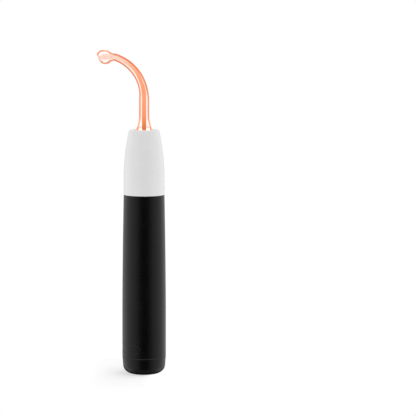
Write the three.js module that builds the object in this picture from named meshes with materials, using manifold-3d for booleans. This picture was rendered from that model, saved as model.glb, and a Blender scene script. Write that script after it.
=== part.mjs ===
// High frequency wand: a cordless handle with a white nose that holds a bent glass electrode.
// Millimetres, +Z up. The origin is the centre of the foot, on the axis of the handle.
// The front is -Y and the electrode bends towards -X.
// An azimuth is an angle round the handle, zero at the front and growing towards +X.
import * as THREE from 'three';
import { mergeVertices } from 'three/addons/utils/BufferGeometryUtils.js';
import Module from 'manifold-3d';

const wasm = await Module();
wasm.setup();

// Fits that all pieces share
const seatGap = 0.3; // between pieces that rest on one another
const cutOverrun = 1.5; // how far a cutting body passes the face that it cuts

// Counts of flat sides
const shellSides = 40;
const coreSides = 14;
const fitSides = 20;
const smallSides = 12;
const screwSides = 8;
const wireSides = 6;
const taperSteps = 5;
const innerSteps = 3;
const hollowSteps = 4;
const curveSteps = 8;
const edgeSteps = 3;
const arcSteps = 6;
const holeSteps = 4;
const cornerSteps = 1;
const springSteps = 10;
const leadSteps = 10;

// Shells: dial, barrel and nose, stacked from the foot upwards
const handleDiameter = 32.8;
const seamDiameter = 30.6;
const dialHeight = 12.7;
const partingGap = 0.4;
const barrelLength = 121.9;
const barrelStraight = 32;
const seamGap = 0.3;
const noseLength = 48.7;
const noseStraight = 12;
const shellWall = 2;
const edgeBevel = 0.35;
const barrelTaperPower = 1.25;

const handleRadius = handleDiameter / 2;
const barrelBottom = dialHeight + partingGap;
const taperLevel = barrelBottom + barrelStraight;
const seamLevel = barrelBottom + barrelLength;
const noseBottom = seamLevel + seamGap;
const noseCurveLevel = noseBottom + noseStraight;
const noseTop = noseBottom + noseLength;

// Neck of the barrel, inside the nose
const neckHeight = 8;
const neckWall = 1.8;
const neckShoulder = 2.2;
const neckRadius = seamDiameter / 2 - shellWall - seatGap;
const neckBore = neckRadius - neckWall;

// Electrode's cap, and the rubber ring round it that sets how wide the nose is at its top
const capDiameter = 11.6;
const ringWall = 2;
const noseRim = 0.5; // wall of the socket outside the ring
const ringInner = capDiameter / 2 + seatGap;
const ringOuter = ringInner + ringWall;
const noseTopRadius = ringOuter + seatGap + noseRim + seatGap + shellWall;

// Top of the nose
const noseTopWall = 2.2;
const noseEdgeRound = 1.1;
const noseInnerTop = noseTop - noseTopWall;

// Foot of the dial
const footFlatRadius = 9;
const dialRim = 2.2; // straight wall above the curved foot
const footCurveHeight = dialHeight - dialRim;
const dialWall = 2.2;
const dialFloor = 2.4;

// Power button, a long pill across the lower left of the handle
const buttonAzimuth = THREE.MathUtils.degToRad(-52);
const buttonArc = THREE.MathUtils.degToRad(83.3); // how far it goes round the handle
const buttonWidth = handleDiameter * Math.sin(buttonArc / 2);
const buttonHeight = 5.8;
const buttonFootGap = 0.6; // flange of the button above the base plate
const buttonGap = 0.25;
const buttonLip = 0.8; // how far the flange behind the wall passes the window
const buttonLipThickness = 1.2;
const buttonTravel = 0.8;
const buttonLipRadius = handleRadius - shellWall - seatGap;
const buttonBackRadius = buttonLipRadius - buttonLipThickness;

// Chassis: base plate, cell shelf, spine and coil deck in one moulding
const plateRecess = 0.6;
const plateThickness = 2;
const shelfThickness = 1.5;
const spineThickness = 1.3;
const deckThickness = 1.5;
const deckCollarHeight = 3;
const deckCollarWall = 1.2;
const plateBottom = barrelBottom + plateRecess;
const plateTop = plateBottom + plateThickness;
const buttonLevel = plateTop + buttonFootGap + buttonLip + buttonHeight / 2;
const shelfBottom = buttonLevel + buttonHeight / 2 + buttonLip + seatGap;
const shelfTop = shelfBottom + shelfThickness;

// Lithium cell, with a cone spring under it and a contact plate over it.
// It is as wide as the board and the parts on it leave room for: 18.4 mm here.
const cellLength = 65;
const cellEdgeRound = 0.8;
const cellButtonDiameter = 6;
const cellButtonHeight = 0.9;
const springHeight = 4;
const springWire = 0.8;
const springWideDiameter = 11;
const springNarrowDiameter = 6;
const springTurns = 3;
const contactThickness = 0.5;
const contactWidth = 8;
const cellBottom = shelfTop + seatGap + springHeight + seatGap;
const cellTop = cellBottom + cellLength;
const deckBottom = cellTop + seatGap + contactThickness + seatGap;
const deckTop = deckBottom + deckThickness;
const boardThickness = 1.6;
const partRoom = 5.5; // from the board to the wall behind it
const coreRadius = Math.min(barrelRadius(shelfTop), barrelRadius(deckTop)) - shellWall;
const boardBack = coreRadius - partRoom;
const boardFront = boardBack - boardThickness;
const spineBack = boardFront - seatGap;
const spineFront = spineBack - spineThickness;
const cellFront = coreRadius - seatGap;
const cellRadius = (cellFront + spineFront - seatGap) / 2;
const cellOffset = cellFront - cellRadius;

// Arms of the spine that hold the cell
const armWall = 1.2;
const armHeight = 6;
const armLevelShares = [0.16, 0.8];

// Main circuit board on the back of the spine
const boardEdgeMargin = 0.5;
const boardCorner = 1;
const boardScrewInset = 3.2;
const boardBottom = shelfTop + seatGap;
const boardTop = deckBottom - seatGap;
const boardHalfWidth = chord(coreRadius - boardEdgeMargin, boardBack);
const mountPlane = boardBack + seatGap;

// Small screws for the board
const boardScrewHeadDiameter = 3;
const boardScrewHeadHeight = 0.9;
const boardScrewShankDiameter = 1.5;
const boardScrewTail = 0.6; // length past the spine
const boardScrewSocket = 0.45;

// Larger screws that hold the chassis in the bosses of the barrel
const bossDiameter = 6.4;
const bossInset = 2.8; // axis of the boss inside the wall's inner face
const bossAzimuths = [THREE.MathUtils.degToRad(30), THREE.MathUtils.degToRad(-150)];
const chassisScrewHeadDiameter = 4;
const chassisScrewHeadHeight = 1.5;
const chassisScrewShankDiameter = 2.4;
const chassisScrewLength = 7;
const chassisScrewSocket = 0.7;
const bossRadius = handleRadius - shellWall - bossInset;

// Charging port and light at the back
const backAzimuth = Math.PI;
const portWidth = 8.94;
const portHeight = 3.26;
const portWall = 0.35;
const portBackWall = 0.9;
const portRecess = 1.2; // mouth inside the handle's surface
const portRise = 5.5; // above the lower edge of the board
const portTongueWidth = 6.2;
const portTongueThickness = 0.7;
const portTongueRecess = 0.8;
const portLevel = boardBottom + portRise;
const portMouth = handleRadius - portRecess;
const lightRise = 7.5; // above the port
const ledWidth = 1.6;
const ledDepth = 0.8;
const lensDiameter = 2.4;
const lensRecess = 0.2;
const lensRound = 0.3;
const lightLevel = portLevel + lightRise;

// Parts on the board, from bottom to top
const chargerWidth = 5;
const chargerThickness = 1;
const controllerWidth = 7.5;
const controllerThickness = 1.3;
const chipBevel = 0.3;
const inductorDiameter = 7.4;
const inductorHeight = 2.8;
const inductorFlange = 0.6;
const inductorGroove = 0.8;
const capacitorDiameter = 3.8;
const capacitorLength = 9;
const capacitorSpacing = 4.9;
const capacitorRound = 0.4;
const transistorWidth = 6.5;
const transistorHeight = 7;
const transistorThickness = 1.4;
const sinkWidth = 9;
const sinkHeight = 12;
const sinkBase = 0.7;
const sinkFins = 4;
const sinkFinThickness = 0.7;
const partLevels = stackUp(lightLevel + ledWidth / 2, boardTop, {
  charger: chargerWidth,
  controller: controllerWidth,
  inductor: inductorDiameter,
  capacitors: capacitorLength,
  transistor: sinkHeight,
});

// Key switch behind the button, standing on the base plate
const switchPlungerDiameter = 3.4;
const switchPlungerLength = 2.3;
const switchBodyWidth = 6.2;
const switchBodyThickness = 3.1;
const switchBodyRound = 0.4;
const switchBoardWidth = 13.5;
const switchBoardThickness = 1;
const switchPostWidth = 2;
const switchPostThickness = 1.6;
const switchPostInset = 0.4;
const plungerFront = buttonBackRadius - seatGap;
const plungerBack = plungerFront - switchPlungerLength;
const switchBoreBack = plungerBack - buttonTravel - seatGap;
const switchFaceGap = 0.4; // face of the switch inside the pressed button's back
const switchFront = buttonBackRadius - buttonTravel - switchFaceGap;
const switchBack = switchFront - switchBodyThickness;
const switchBoardFront = switchBack - seatGap;
const switchBoardBack = switchBoardFront - switchBoardThickness;
const switchBoardBottom = plateTop + seatGap;
const switchBoardTop = shelfBottom - seatGap;

// Potentiometer on the base plate, and its shaft down to the dial
const potClearance = 0.9; // between the potentiometer and the switch board
const potHeight = 6;
const potBevel = 0.5;
const potNutThickness = 2;
const potNutSides = 6;
const potShares = { bush: 0.69, nut: 0.98, shaft: 0.484, flat: 0.121 }; // of its diameter
const shaftDepth = 3.5; // length of the shaft inside the potentiometer
const potDiameter = 2 * (switchBoardBack - potClearance);
const potBushDiameter = potDiameter * potShares.bush;
const potNutWidth = potDiameter * potShares.nut;
const shaftDiameter = potDiameter * potShares.shaft;
const shaftFlatDepth = potDiameter * potShares.flat;
const hubWall = 1.9;
const hubGap = 0.6;
const nutTop = plateBottom - seatGap;
const nutBottom = nutTop - potNutThickness;
const hubTop = nutBottom - hubGap;
const potBottom = plateTop + seatGap;
const shaftBottom = dialFloor + seatGap;
const shaftTop = potBottom + shaftDepth;
const shaftBore = shaftDiameter / 2 + seatGap;

// Electrode: metal cap, flared foot, stem, bend and blown head
const plugDepth = 28; // cap's lower face below the top of the nose
const capWall = 0.4;
const capFloor = 0.8;
const capLength = 12.5;
const capTipDiameter = 3.2;
const capTipHeight = 0.6;
const glassStemDiameter = 7.6;
const flareRise = 9.8; // top of the flare above the nose
const flareLength = 9.4;
const flarePower = 1.5;
const footShoulder = 1.4;
const bendRise = 24.1; // start of the bend above the nose
const bendRadius = 31.4;
const bendTurn = THREE.MathUtils.degToRad(72);
const glassNeckDiameter = 5;
const headDiameter = 10.6;
const headReach = 7.1; // end of the bend to the centre of the head
const headTurn = THREE.MathUtils.degToRad(90); // the neck runs level into the head
const pipDiameter = 2.4;
const pipReach = 1.7; // past the surface of the head
const pipTilt = THREE.MathUtils.degToRad(30); // below level
const pipShares = { round: 0.3, tip: 0.75 };
const boreDiameter = 2;
const headWall = 1.3;
const leadInDiameter = 0.8;
const leadInLength = 11;
const bendSteps = 14;
const headSteps = 8;
const boreSides = 8;
const glassSides = 16;

const capBottom = noseTop - plugDepth;
const capTop = capBottom + capLength;
const glassBottom = capBottom + capFloor + seatGap;
const glassPlugRadius = capDiameter / 2 - capWall - seatGap;
const glassFootRadius = capDiameter / 2;
const bendLevel = noseTop + bendRise;
const flareTop = noseTop + flareRise;

// Socket in the nose: insulator, contact clip and rubber ring
const clipWall = 0.5;
const clipHeight = 8;
const clipSlots = 3;
const clipSlotWidth = 0.8;
const clipSlotRise = 2;
const clipStemDiameter = 2.4;
const clipStemDrop = 1.5; // past the socket's lower face
const socketWall = 1.6;
const socketFloor = 2;
const socketFlange = 2;
const socketTopFlange = 3;
const ringHeight = 2.4;
const ringRound = 0.5;
const clipInner = capDiameter / 2 + seatGap;
const clipOuter = clipInner + clipWall;
const clipTop = capBottom - capTipHeight - seatGap;
const clipBottom = clipTop - clipWall;
const socketBore = clipOuter + seatGap;
const socketFloorTop = clipBottom - seatGap;
const socketBottom = socketFloorTop - socketFloor;
const socketTop = noseInnerTop - seatGap;
const ringSeat = socketTop - ringHeight - seatGap;

// High voltage coil on the deck
const coilShares = { rod: 0.326, wall: 0.126 }; // of the radius of its flanges
const coilGap = 0.6; // sleeve inside the neck of the barrel
const flangeThickness = 1;
const formerSections = 5;
const leadRise = 6; // top of the coil below the socket
const windingFillShares = { primary: 0.55, secondary: 0.85 }; // of the depth of a section
const sleeveWall = 0.8;
const coreRodInset = 1;
const hvLeadDiameter = 1.4;
const coilBottom = deckTop + seatGap;
const coilTop = socketBottom - leadRise;
const sleeveOuter = neckBore - coilGap;
const sleeveInner = sleeveOuter - sleeveWall;
const flangeRadius = sleeveInner - seatGap;
const coreRodRadius = flangeRadius * coilShares.rod;
const formerBore = coreRodRadius + seatGap;
const formerRadius = formerBore + flangeRadius * coilShares.wall;
const sectionPitch = (coilTop - coilBottom - flangeThickness) / formerSections;

// Outer radius of the barrel at a height: straight, then a long taper to the seam
function barrelRadius(z) {
  const share = Math.max(0, (z - taperLevel) / (seamLevel - taperLevel));
  return (handleDiameter - (handleDiameter - seamDiameter) * share ** barrelTaperPower) / 2;
}

// Outer radius of the nose at a height: straight, then a parabola to the top
function noseRadius(z) {
  const share = Math.max(0, (z - noseCurveLevel) / (noseTop - noseCurveLevel));
  return THREE.MathUtils.lerp(seamDiameter / 2, noseTopRadius, share ** 2);
}

// Middle heights of parts that share a stretch, one above the other with equal spaces
function stackUp(bottom, top, heights) {
  const entries = Object.entries(heights);
  const filled = entries.reduce((sum, [, height]) => sum + height, 0);
  const space = (top - bottom - filled) / (entries.length + 1);
  let level = bottom;
  return Object.fromEntries(entries.map(([name, height]) => {
    const middle = level + space + height / 2;
    level = middle + height / 2;
    return [name, middle];
  }));
}

// Half the chord of a circle at a distance from its centre
function chord(radius, offset) {
  return Math.sqrt(radius ** 2 - offset ** 2);
}

// Smooth step from zero to one
function ease(share) {
  return THREE.MathUtils.smoothstep(share, 0, 1);
}

// Points of an outline, each given as radius and height
function outline(...points) {
  return points.map(([radius, height]) => new THREE.Vector2(radius, height));
}

// Points between two heights, with the radius worked out at each
function climb(from, to, steps, radiusAt) {
  const points = [];
  for (let i = 0; i <= steps; i += 1) {
    const height = THREE.MathUtils.lerp(from, to, i / steps);
    points.push(new THREE.Vector2(radiusAt(height), height));
  }
  return points;
}

// Welds the corners of a geometry, so that it is one solid that can be cut and joined
function solid(geometry) {
  geometry.deleteAttribute('normal');
  geometry.deleteAttribute('uv');
  const welded = mergeVertices(geometry);
  const corners = [];
  for (let i = 0; i < welded.index.count; i += 3) {
    const [a, b, c] = welded.index.array.slice(i, i + 3);
    if (a !== b && b !== c && c !== a) corners.push(a, b, c);
  }
  return new wasm.Manifold(new wasm.Mesh({
    numProp: 3,
    vertProperties: new Float32Array(welded.attributes.position.array),
    triVerts: Uint32Array.from(corners),
  }));
}

// Turns an outline round the Z axis. It ends on the axis or closes on itself.
function revolved(points, sides) {
  const ends = [points[0], points[points.length - 1]];
  const closed = ends.every((point) => point.x === 0) ? points : [...points, points[0]];
  const ordered = THREE.ShapeUtils.area(closed) < 0 ? [...closed].reverse() : closed;
  return new THREE.LatheGeometry(ordered, sides).rotateX(Math.PI / 2);
}

function turned(points, sides) {
  return solid(revolved(points, sides));
}

// The same, moved out from the axis at an azimuth
function turnedAt(points, sides, azimuth, distance) {
  const [x, y] = [Math.sin(azimuth) * distance, -Math.cos(azimuth) * distance];
  return solid(revolved(points, sides).translate(x, y, 0));
}

// Plain round bar and round tube, upright
function barOutline(radius, bottom, top) {
  return outline([0, bottom], [radius, bottom], [radius, top], [0, top]);
}

function bar(radius, bottom, top, sides = coreSides) {
  return turned(barOutline(radius, bottom, top), sides);
}

function tube(inner, outer, bottom, top, sides = coreSides) {
  return turned(outline([inner, bottom], [outer, bottom], [outer, top], [inner, top]), sides);
}

// Upright block given by its lowest and highest corners
function block(low, high) {
  const size = high.map((value, axis) => value - low[axis]);
  const middle = high.map((value, axis) => (value + low[axis]) / 2);
  return solid(new THREE.BoxGeometry(...size).translate(...middle));
}

// Turns a geometry drawn flat to face outwards at an azimuth: x runs round the handle,
// y runs up and z runs out from the axis. The distance is that of its back from the axis.
function facing(geometry, azimuth, distance, level) {
  const out = new THREE.Vector3(Math.sin(azimuth), -Math.cos(azimuth), 0);
  const round = new THREE.Vector3(-out.y, out.x, 0);
  const place = new THREE.Matrix4().makeBasis(round, new THREE.Vector3(0, 0, 1), out);
  place.setPosition(out.clone().multiplyScalar(distance).setZ(level));
  return geometry.applyMatrix4(place);
}

// Straight extrusion of a flat shape, facing outwards between two distances from the axis
function pushed(shape, azimuth, from, to, level, curveSegments = arcSteps) {
  const geometry = new THREE.ExtrudeGeometry(shape, { depth: to - from, bevelEnabled: false, curveSegments });
  return solid(facing(geometry, azimuth, from, level));
}

// Flat shapes
function pill(width, height) {
  const round = height / 2;
  const straight = width / 2 - round;
  const shape = new THREE.Shape();
  shape.absarc(straight, 0, round, -Math.PI / 2, Math.PI / 2);
  shape.absarc(-straight, 0, round, Math.PI / 2, Math.PI * 3 / 2);
  return shape;
}

function plate(width, height, corner) {
  const [right, top] = [width / 2, height / 2];
  const shape = new THREE.Shape();
  shape.absarc(right - corner, top - corner, corner, 0, Math.PI / 2);
  shape.absarc(corner - right, top - corner, corner, Math.PI / 2, Math.PI);
  shape.absarc(corner - right, corner - top, corner, Math.PI, Math.PI * 3 / 2);
  shape.absarc(right - corner, corner - top, corner, Math.PI * 3 / 2, Math.PI * 2);
  return shape;
}

function disc(diameter, x = 0, y = 0) {
  const shape = new THREE.Shape();
  shape.absarc(x, y, diameter / 2, 0, Math.PI * 2);
  return shape;
}

// Tube along a curve
function wire(curve, diameter, steps) {
  const section = new THREE.Shape();
  for (let i = 0; i < wireSides; i += 1) {
    const angle = i / wireSides * Math.PI * 2;
    const [x, y] = [Math.cos(angle) * diameter / 2, Math.sin(angle) * diameter / 2];
    if (i === 0) section.moveTo(x, y);
    else section.lineTo(x, y);
  }
  return solid(new THREE.ExtrudeGeometry(section, { steps, bevelEnabled: false, extrudePath: curve }));
}

// Closed skin over a row of rings. Each ring has a centre, a radius and the direction across it
// in the plane of the bend. The ends close on a point each.
function skin(rings, first, last, sides) {
  const corners = [first, last];
  for (const { centre, radius, across } of rings) {
    for (let j = 0; j < sides; j += 1) {
      const angle = j / sides * Math.PI * 2;
      const corner = centre.clone().addScaledVector(across, Math.cos(angle) * radius);
      corner.y += Math.sin(angle) * radius;
      corners.push(corner);
    }
  }
  const at = (ring, j) => 2 + ring * sides + j % sides;
  const faces = [];
  for (let j = 0; j < sides; j += 1) {
    faces.push(0, at(0, j + 1), at(0, j));
    for (let ring = 0; ring < rings.length - 1; ring += 1) {
      faces.push(at(ring, j), at(ring, j + 1), at(ring + 1, j + 1));
      faces.push(at(ring, j), at(ring + 1, j + 1), at(ring + 1, j));
    }
    faces.push(1, at(rings.length - 1, j), at(rings.length - 1, j + 1));
  }
  const geometry = new THREE.BufferGeometry().setFromPoints(corners);
  return solid(geometry.setIndex(faces));
}

// The assembly, and the way that a finished solid joins it
const wand = new THREE.Group();
wand.name = 'high_frequency_wand';

function add(name, body, colour, roughness, metalness = 0) {
  const { vertProperties, triVerts } = body.getMesh();
  const geometry = new THREE.BufferGeometry();
  geometry.setAttribute('position', new THREE.BufferAttribute(new Float32Array(vertProperties), 3));
  geometry.setIndex(new THREE.BufferAttribute(new Uint32Array(triVerts), 1));
  const material = new THREE.MeshStandardMaterial({ color: colour, roughness, metalness });
  const mesh = new THREE.Mesh(geometry, material);
  mesh.name = name;
  wand.add(mesh);
}

// Body of the handle: one tapered tube with a neck, two screw bosses and three openings
function handleBarrel() {
  const innerRadius = (z) => barrelRadius(z) - shellWall;
  const ceiling = seamLevel - neckShoulder;
  const neckTop = seamLevel + neckHeight;
  const shell = turned([
    ...outline([handleRadius - edgeBevel, barrelBottom]),
    ...outline([handleRadius, barrelBottom + edgeBevel]),
    ...climb(taperLevel, seamLevel - edgeBevel, taperSteps, barrelRadius),
    ...outline([seamDiameter / 2 - edgeBevel, seamLevel], [neckRadius, seamLevel]),
    ...outline([neckRadius, neckTop - edgeBevel], [neckRadius - edgeBevel, neckTop]),
    ...outline([neckBore, neckTop], [neckBore, ceiling]),
    ...climb(ceiling, taperLevel, innerSteps, innerRadius),
    ...outline([innerRadius(barrelBottom), barrelBottom]),
  ], shellSides);
  const window = pushed(
    pill(buttonWidth + 2 * buttonGap, buttonHeight + 2 * buttonGap),
    buttonAzimuth, 0, handleRadius + cutOverrun, buttonLevel,
  );
  const portHole = pushed(
    pill(portWidth + 2 * seatGap, portHeight + 2 * seatGap),
    backAzimuth, boardBack, handleRadius + cutOverrun, portLevel,
  );
  const lightHole = pushed(
    disc(lensDiameter + 2 * seatGap),
    backAzimuth, boardBack, handleRadius + cutOverrun, lightLevel,
  );
  let barrel = shell;
  for (const azimuth of bossAzimuths) barrel = barrel.add(boss(azimuth));
  return barrel.subtract(window).subtract(portHole).subtract(lightHole);
}

// Screw boss on the inside of the wall
function boss(azimuth) {
  const [bottom, top] = [plateTop + seatGap, shelfBottom - seatGap];
  const hole = chassisScrewShankDiameter / 2 + seatGap;
  const outer = bossDiameter / 2;
  const post = outline([hole, bottom], [outer, bottom], [outer, top], [hole, top]);
  return turnedAt(post, smallSides, azimuth, bossRadius);
}

// White nose: a thin shell over the neck, with a round mouth for the electrode
function noseCone() {
  const rimLevel = noseBottom + edgeBevel * 2;
  const roundLevel = noseTop - noseEdgeRound;
  const mouth = ringInner + seatGap;
  const edge = new THREE.QuadraticBezierCurve(
    new THREE.Vector2(noseRadius(roundLevel), roundLevel),
    new THREE.Vector2(noseRadius(noseTop), noseTop),
    new THREE.Vector2(noseRadius(noseTop) - noseEdgeRound, noseTop),
  );
  const inner = (z) => noseRadius(z) - shellWall;
  return turned([
    ...outline([inner(noseBottom), noseBottom], [seamDiameter / 2 - edgeBevel, noseBottom]),
    ...outline([seamDiameter / 2, rimLevel]),
    ...climb(noseCurveLevel, roundLevel, curveSteps, noseRadius).slice(0, -1),
    ...edge.getPoints(edgeSteps),
    ...outline([mouth + edgeBevel, noseTop], [mouth, noseTop - edgeBevel], [mouth, noseInnerTop]),
    ...climb(noseInnerTop, noseCurveLevel, hollowSteps, inner),
  ], shellSides);
}

// Dial at the foot: a cup with a soft curved edge and a hub for the shaft
function intensityDial() {
  const foot = (radius, flat, floor, steps) => new THREE.EllipseCurve(
    flat, footCurveHeight, radius - flat, footCurveHeight - floor, -Math.PI / 2, 0,
  ).getPoints(steps);
  const innerRadius = handleRadius - dialWall;
  const innerFlat = footFlatRadius - dialWall / 2;
  const hubRadius = shaftBore + hubWall;
  const cup = turned([
    ...outline([0, 0]),
    ...foot(handleRadius, footFlatRadius, 0, curveSteps),
    ...outline([handleRadius, dialHeight - edgeBevel], [handleRadius - edgeBevel, dialHeight]),
    ...outline([innerRadius, dialHeight]),
    ...foot(innerRadius, innerFlat, dialFloor, hollowSteps).reverse(),
    ...outline([hubRadius, dialFloor], [hubRadius, hubTop], [0, hubTop]),
  ], shellSides);
  return cup.subtract(shaftForm(shaftBore, dialFloor, hubTop + cutOverrun, shaftFlatDepth));
}

// Round bar with a flat on one side
function shaftForm(radius, bottom, top, flatDepth) {
  const flat = radius - flatDepth;
  const side = block([flat, -radius, bottom - cutOverrun], [radius + cutOverrun, radius, top + cutOverrun]);
  return bar(radius, bottom, top).subtract(side);
}

function potentiometerShaft() {
  const radius = shaftDiameter / 2;
  const keyed = shaftForm(radius, shaftBottom, nutBottom, shaftFlatDepth);
  return keyed.add(bar(radius, hubTop + seatGap, shaftTop));
}

function potentiometerBody() {
  const radius = potDiameter / 2;
  const top = potBottom + potHeight;
  return turned(outline(
    [0, shaftTop + seatGap],
    [shaftBore, shaftTop + seatGap],
    [shaftBore, nutBottom],
    [potBushDiameter / 2, nutBottom],
    [potBushDiameter / 2, potBottom],
    [radius, potBottom],
    [radius, top - potBevel],
    [radius - potBevel, top],
    [0, top],
  ), coreSides);
}

function potentiometerNut() {
  const hexagon = new THREE.Shape();
  const corner = potNutWidth / Math.sqrt(3);
  for (let i = 0; i < potNutSides; i += 1) {
    const angle = i / potNutSides * Math.PI * 2;
    if (i === 0) hexagon.moveTo(corner, 0);
    else hexagon.lineTo(Math.cos(angle) * corner, Math.sin(angle) * corner);
  }
  hexagon.holes.push(disc(potBushDiameter + 2 * seatGap));
  const geometry = new THREE.ExtrudeGeometry(hexagon, {
    depth: potNutThickness, bevelEnabled: false, curveSegments: smallSides,
  });
  return solid(geometry.translate(0, 0, nutBottom));
}

// Power button: a pill that follows the handle's surface, with a flange behind the wall
function powerButton() {
  const [low, high] = [plateBottom, shelfTop];
  const depth = [0, handleRadius + cutOverrun];
  const face = pushed(pill(buttonWidth, buttonHeight), buttonAzimuth, ...depth, buttonLevel);
  const lip = pushed(
    pill(buttonWidth + 2 * buttonLip, buttonHeight + 2 * buttonLip),
    buttonAzimuth, ...depth, buttonLevel,
  );
  return face.intersect(tube(buttonBackRadius, handleRadius, low, high, shellSides))
    .add(lip.intersect(tube(buttonBackRadius, buttonLipRadius, low, high, shellSides)));
}

function switchPlunger() {
  return pushed(disc(switchPlungerDiameter), buttonAzimuth, plungerBack, plungerFront, buttonLevel);
}

function tactSwitch() {
  const body = pushed(
    plate(switchBodyWidth, switchBodyWidth, switchBodyRound),
    buttonAzimuth, switchBack, switchFront, buttonLevel, cornerSteps,
  );
  const hole = disc(switchPlungerDiameter + 2 * seatGap);
  return body.subtract(pushed(hole, buttonAzimuth, switchBoreBack, switchFront + cutOverrun, buttonLevel));
}

function switchBoard() {
  const height = switchBoardTop - switchBoardBottom;
  const middle = (switchBoardTop + switchBoardBottom) / 2;
  const shape = plate(switchBoardWidth, height, switchBodyRound);
  return pushed(shape, buttonAzimuth, switchBoardBack, switchBoardFront, middle, cornerSteps);
}

// Chassis: three discs on a flat spine, with arms for the cell and posts for the switch board
function chassisFrame() {
  const reach = (z) => barrelRadius(z) - shellWall - seatGap;
  const collar = sleeveOuter + seatGap;
  const legInner = potDiameter / 2 + seatGap;
  const pieces = [
    bar(reach(plateTop), plateBottom, plateTop, fitSides),
    bar(reach(shelfTop), shelfBottom, shelfTop, fitSides),
    bar(reach(deckTop), deckBottom, deckTop, fitSides),
    tube(collar, collar + deckCollarWall, deckTop - seatGap, deckTop + deckCollarHeight, fitSides),
    block(
      [-boardHalfWidth, spineFront, plateTop - seatGap],
      [boardHalfWidth, spineBack, deckBottom + seatGap],
    ),
    ...[-1, 1].map(switchPost),
    ...armLevelShares.flatMap((share) => [-1, 1].map((side) => cellArm(share, side))),
  ];
  let frame = pieces[0];
  for (const piece of pieces.slice(1)) frame = frame.add(piece);
  const holes = [
    bar(potBushDiameter / 2 + seatGap, plateBottom - cutOverrun, plateTop + cutOverrun),
    block([-legInner, spineFront - cutOverrun, plateTop], [legInner, spineBack + cutOverrun, shelfBottom]),
    ...bossAzimuths.map((azimuth) => turnedAt(
      barOutline(chassisScrewShankDiameter / 2 + seatGap, plateBottom - cutOverrun, plateTop + cutOverrun),
      smallSides, azimuth, bossRadius,
    )),
    ...boardScrewPlaces().map((place) => boardScrewHole(place, spineFront, spineBack)),
  ];
  for (const hole of holes) frame = frame.subtract(hole);
  return frame;
}

// Hole for one board screw through a flat piece between two planes
function boardScrewHole([x, z], front, back) {
  const shape = disc(boardScrewShankDiameter + 2 * seatGap, -x);
  return pushed(shape, backAzimuth, front - cutOverrun, back + cutOverrun, z, holeSteps);
}

// Arm of the spine at the side of the cell
function cellArm(levelShare, side) {
  const level = THREE.MathUtils.lerp(cellBottom, cellTop, levelShare);
  const [near, far] = [cellRadius + seatGap, cellRadius + seatGap + armWall];
  const xs = [near * side, far * side].sort((a, b) => a - b);
  return block([xs[0], -cellOffset, level - armHeight / 2], [xs[1], spineBack, level + armHeight / 2]);
}

// Post behind one end of the switch board
function switchPost(side) {
  const height = buttonHeight;
  const shape = new THREE.Shape();
  const outer = switchBoardWidth / 2 - switchPostInset;
  shape.moveTo(outer, 0);
  shape.lineTo(outer, height);
  shape.lineTo(outer - switchPostWidth, height);
  shape.lineTo(outer - switchPostWidth, 0);
  const front = switchBoardBack - seatGap;
  const geometry = new THREE.ExtrudeGeometry(shape, { depth: switchPostThickness, bevelEnabled: false });
  if (side < 0) geometry.translate(switchPostWidth - 2 * outer, 0, 0);
  return solid(facing(geometry, buttonAzimuth, front - switchPostThickness, plateTop - seatGap));
}

// Outline of a screw with its head down: a socket in the head, a soft edge and a pointed end
const screwShares = { socket: 0.9, face: 0.85, edge: 0.4, point: 0.9 };

function screwOutline(headDiameter, headHeight, socketDepth, shankDiameter, length, bottom) {
  const [head, shank] = [headDiameter / 2, shankDiameter / 2];
  const seat = bottom + headHeight;
  return outline(
    [0, bottom + socketDepth],
    [shank * screwShares.socket, bottom + socketDepth],
    [shank * screwShares.socket, bottom],
    [head * screwShares.face, bottom],
    [head, bottom + headHeight * screwShares.edge],
    [head, seat],
    [shank, seat],
    [shank, seat + length * screwShares.point],
    [0, seat + length],
  );
}

function chassisScrew(azimuth) {
  const form = screwOutline(
    chassisScrewHeadDiameter, chassisScrewHeadHeight, chassisScrewSocket,
    chassisScrewShankDiameter, chassisScrewLength, plateBottom - seatGap - chassisScrewHeadHeight,
  );
  return turnedAt(form, screwSides, azimuth, bossRadius);
}

function boardScrewPlaces() {
  const x = boardHalfWidth - boardScrewInset;
  const heights = [boardBottom + boardScrewInset, boardTop - boardScrewInset];
  return heights.flatMap((z) => [[-x, z], [x, z]]);
}

function boardScrew([x, z]) {
  const length = mountPlane - spineFront + boardScrewTail;
  const form = screwOutline(
    boardScrewHeadDiameter, boardScrewHeadHeight, boardScrewSocket, boardScrewShankDiameter, length, 0,
  );
  const geometry = revolved(form, screwSides).rotateX(Math.PI / 2);
  return solid(geometry.translate(x, mountPlane + boardScrewHeadHeight, z));
}

// Main board with its four screw holes
function mainBoard() {
  const middle = (boardTop + boardBottom) / 2;
  const shape = plate(2 * boardHalfWidth, boardTop - boardBottom, boardCorner);
  let board = pushed(shape, backAzimuth, boardFront, boardBack, middle, cornerSteps);
  for (const place of boardScrewPlaces()) {
    board = board.subtract(boardScrewHole(place, boardFront, boardBack));
  }
  return board;
}

// Flat chip with a bevel round its top, by an extrusion whose bevel is inside its size
function chip(width, height, thickness, level) {
  const shape = plate(width - 2 * chipBevel, height - 2 * chipBevel, chipBevel);
  const geometry = new THREE.ExtrudeGeometry(shape, {
    depth: thickness - chipBevel,
    bevelThickness: chipBevel,
    bevelSize: chipBevel,
    bevelSegments: cornerSteps,
    curveSegments: cornerSteps,
  });
  const upper = solid(facing(geometry, backAzimuth, mountPlane, level));
  const under = mountPlane - chipBevel - cutOverrun;
  return upper.subtract(block([-width, under, level - height], [width, mountPlane, level + height]));
}

function controllerChip() {
  return chip(controllerWidth, controllerWidth, controllerThickness, partLevels.controller);
}

function driverTransistor() {
  return chip(transistorWidth, transistorHeight, transistorThickness, partLevels.transistor);
}

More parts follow.
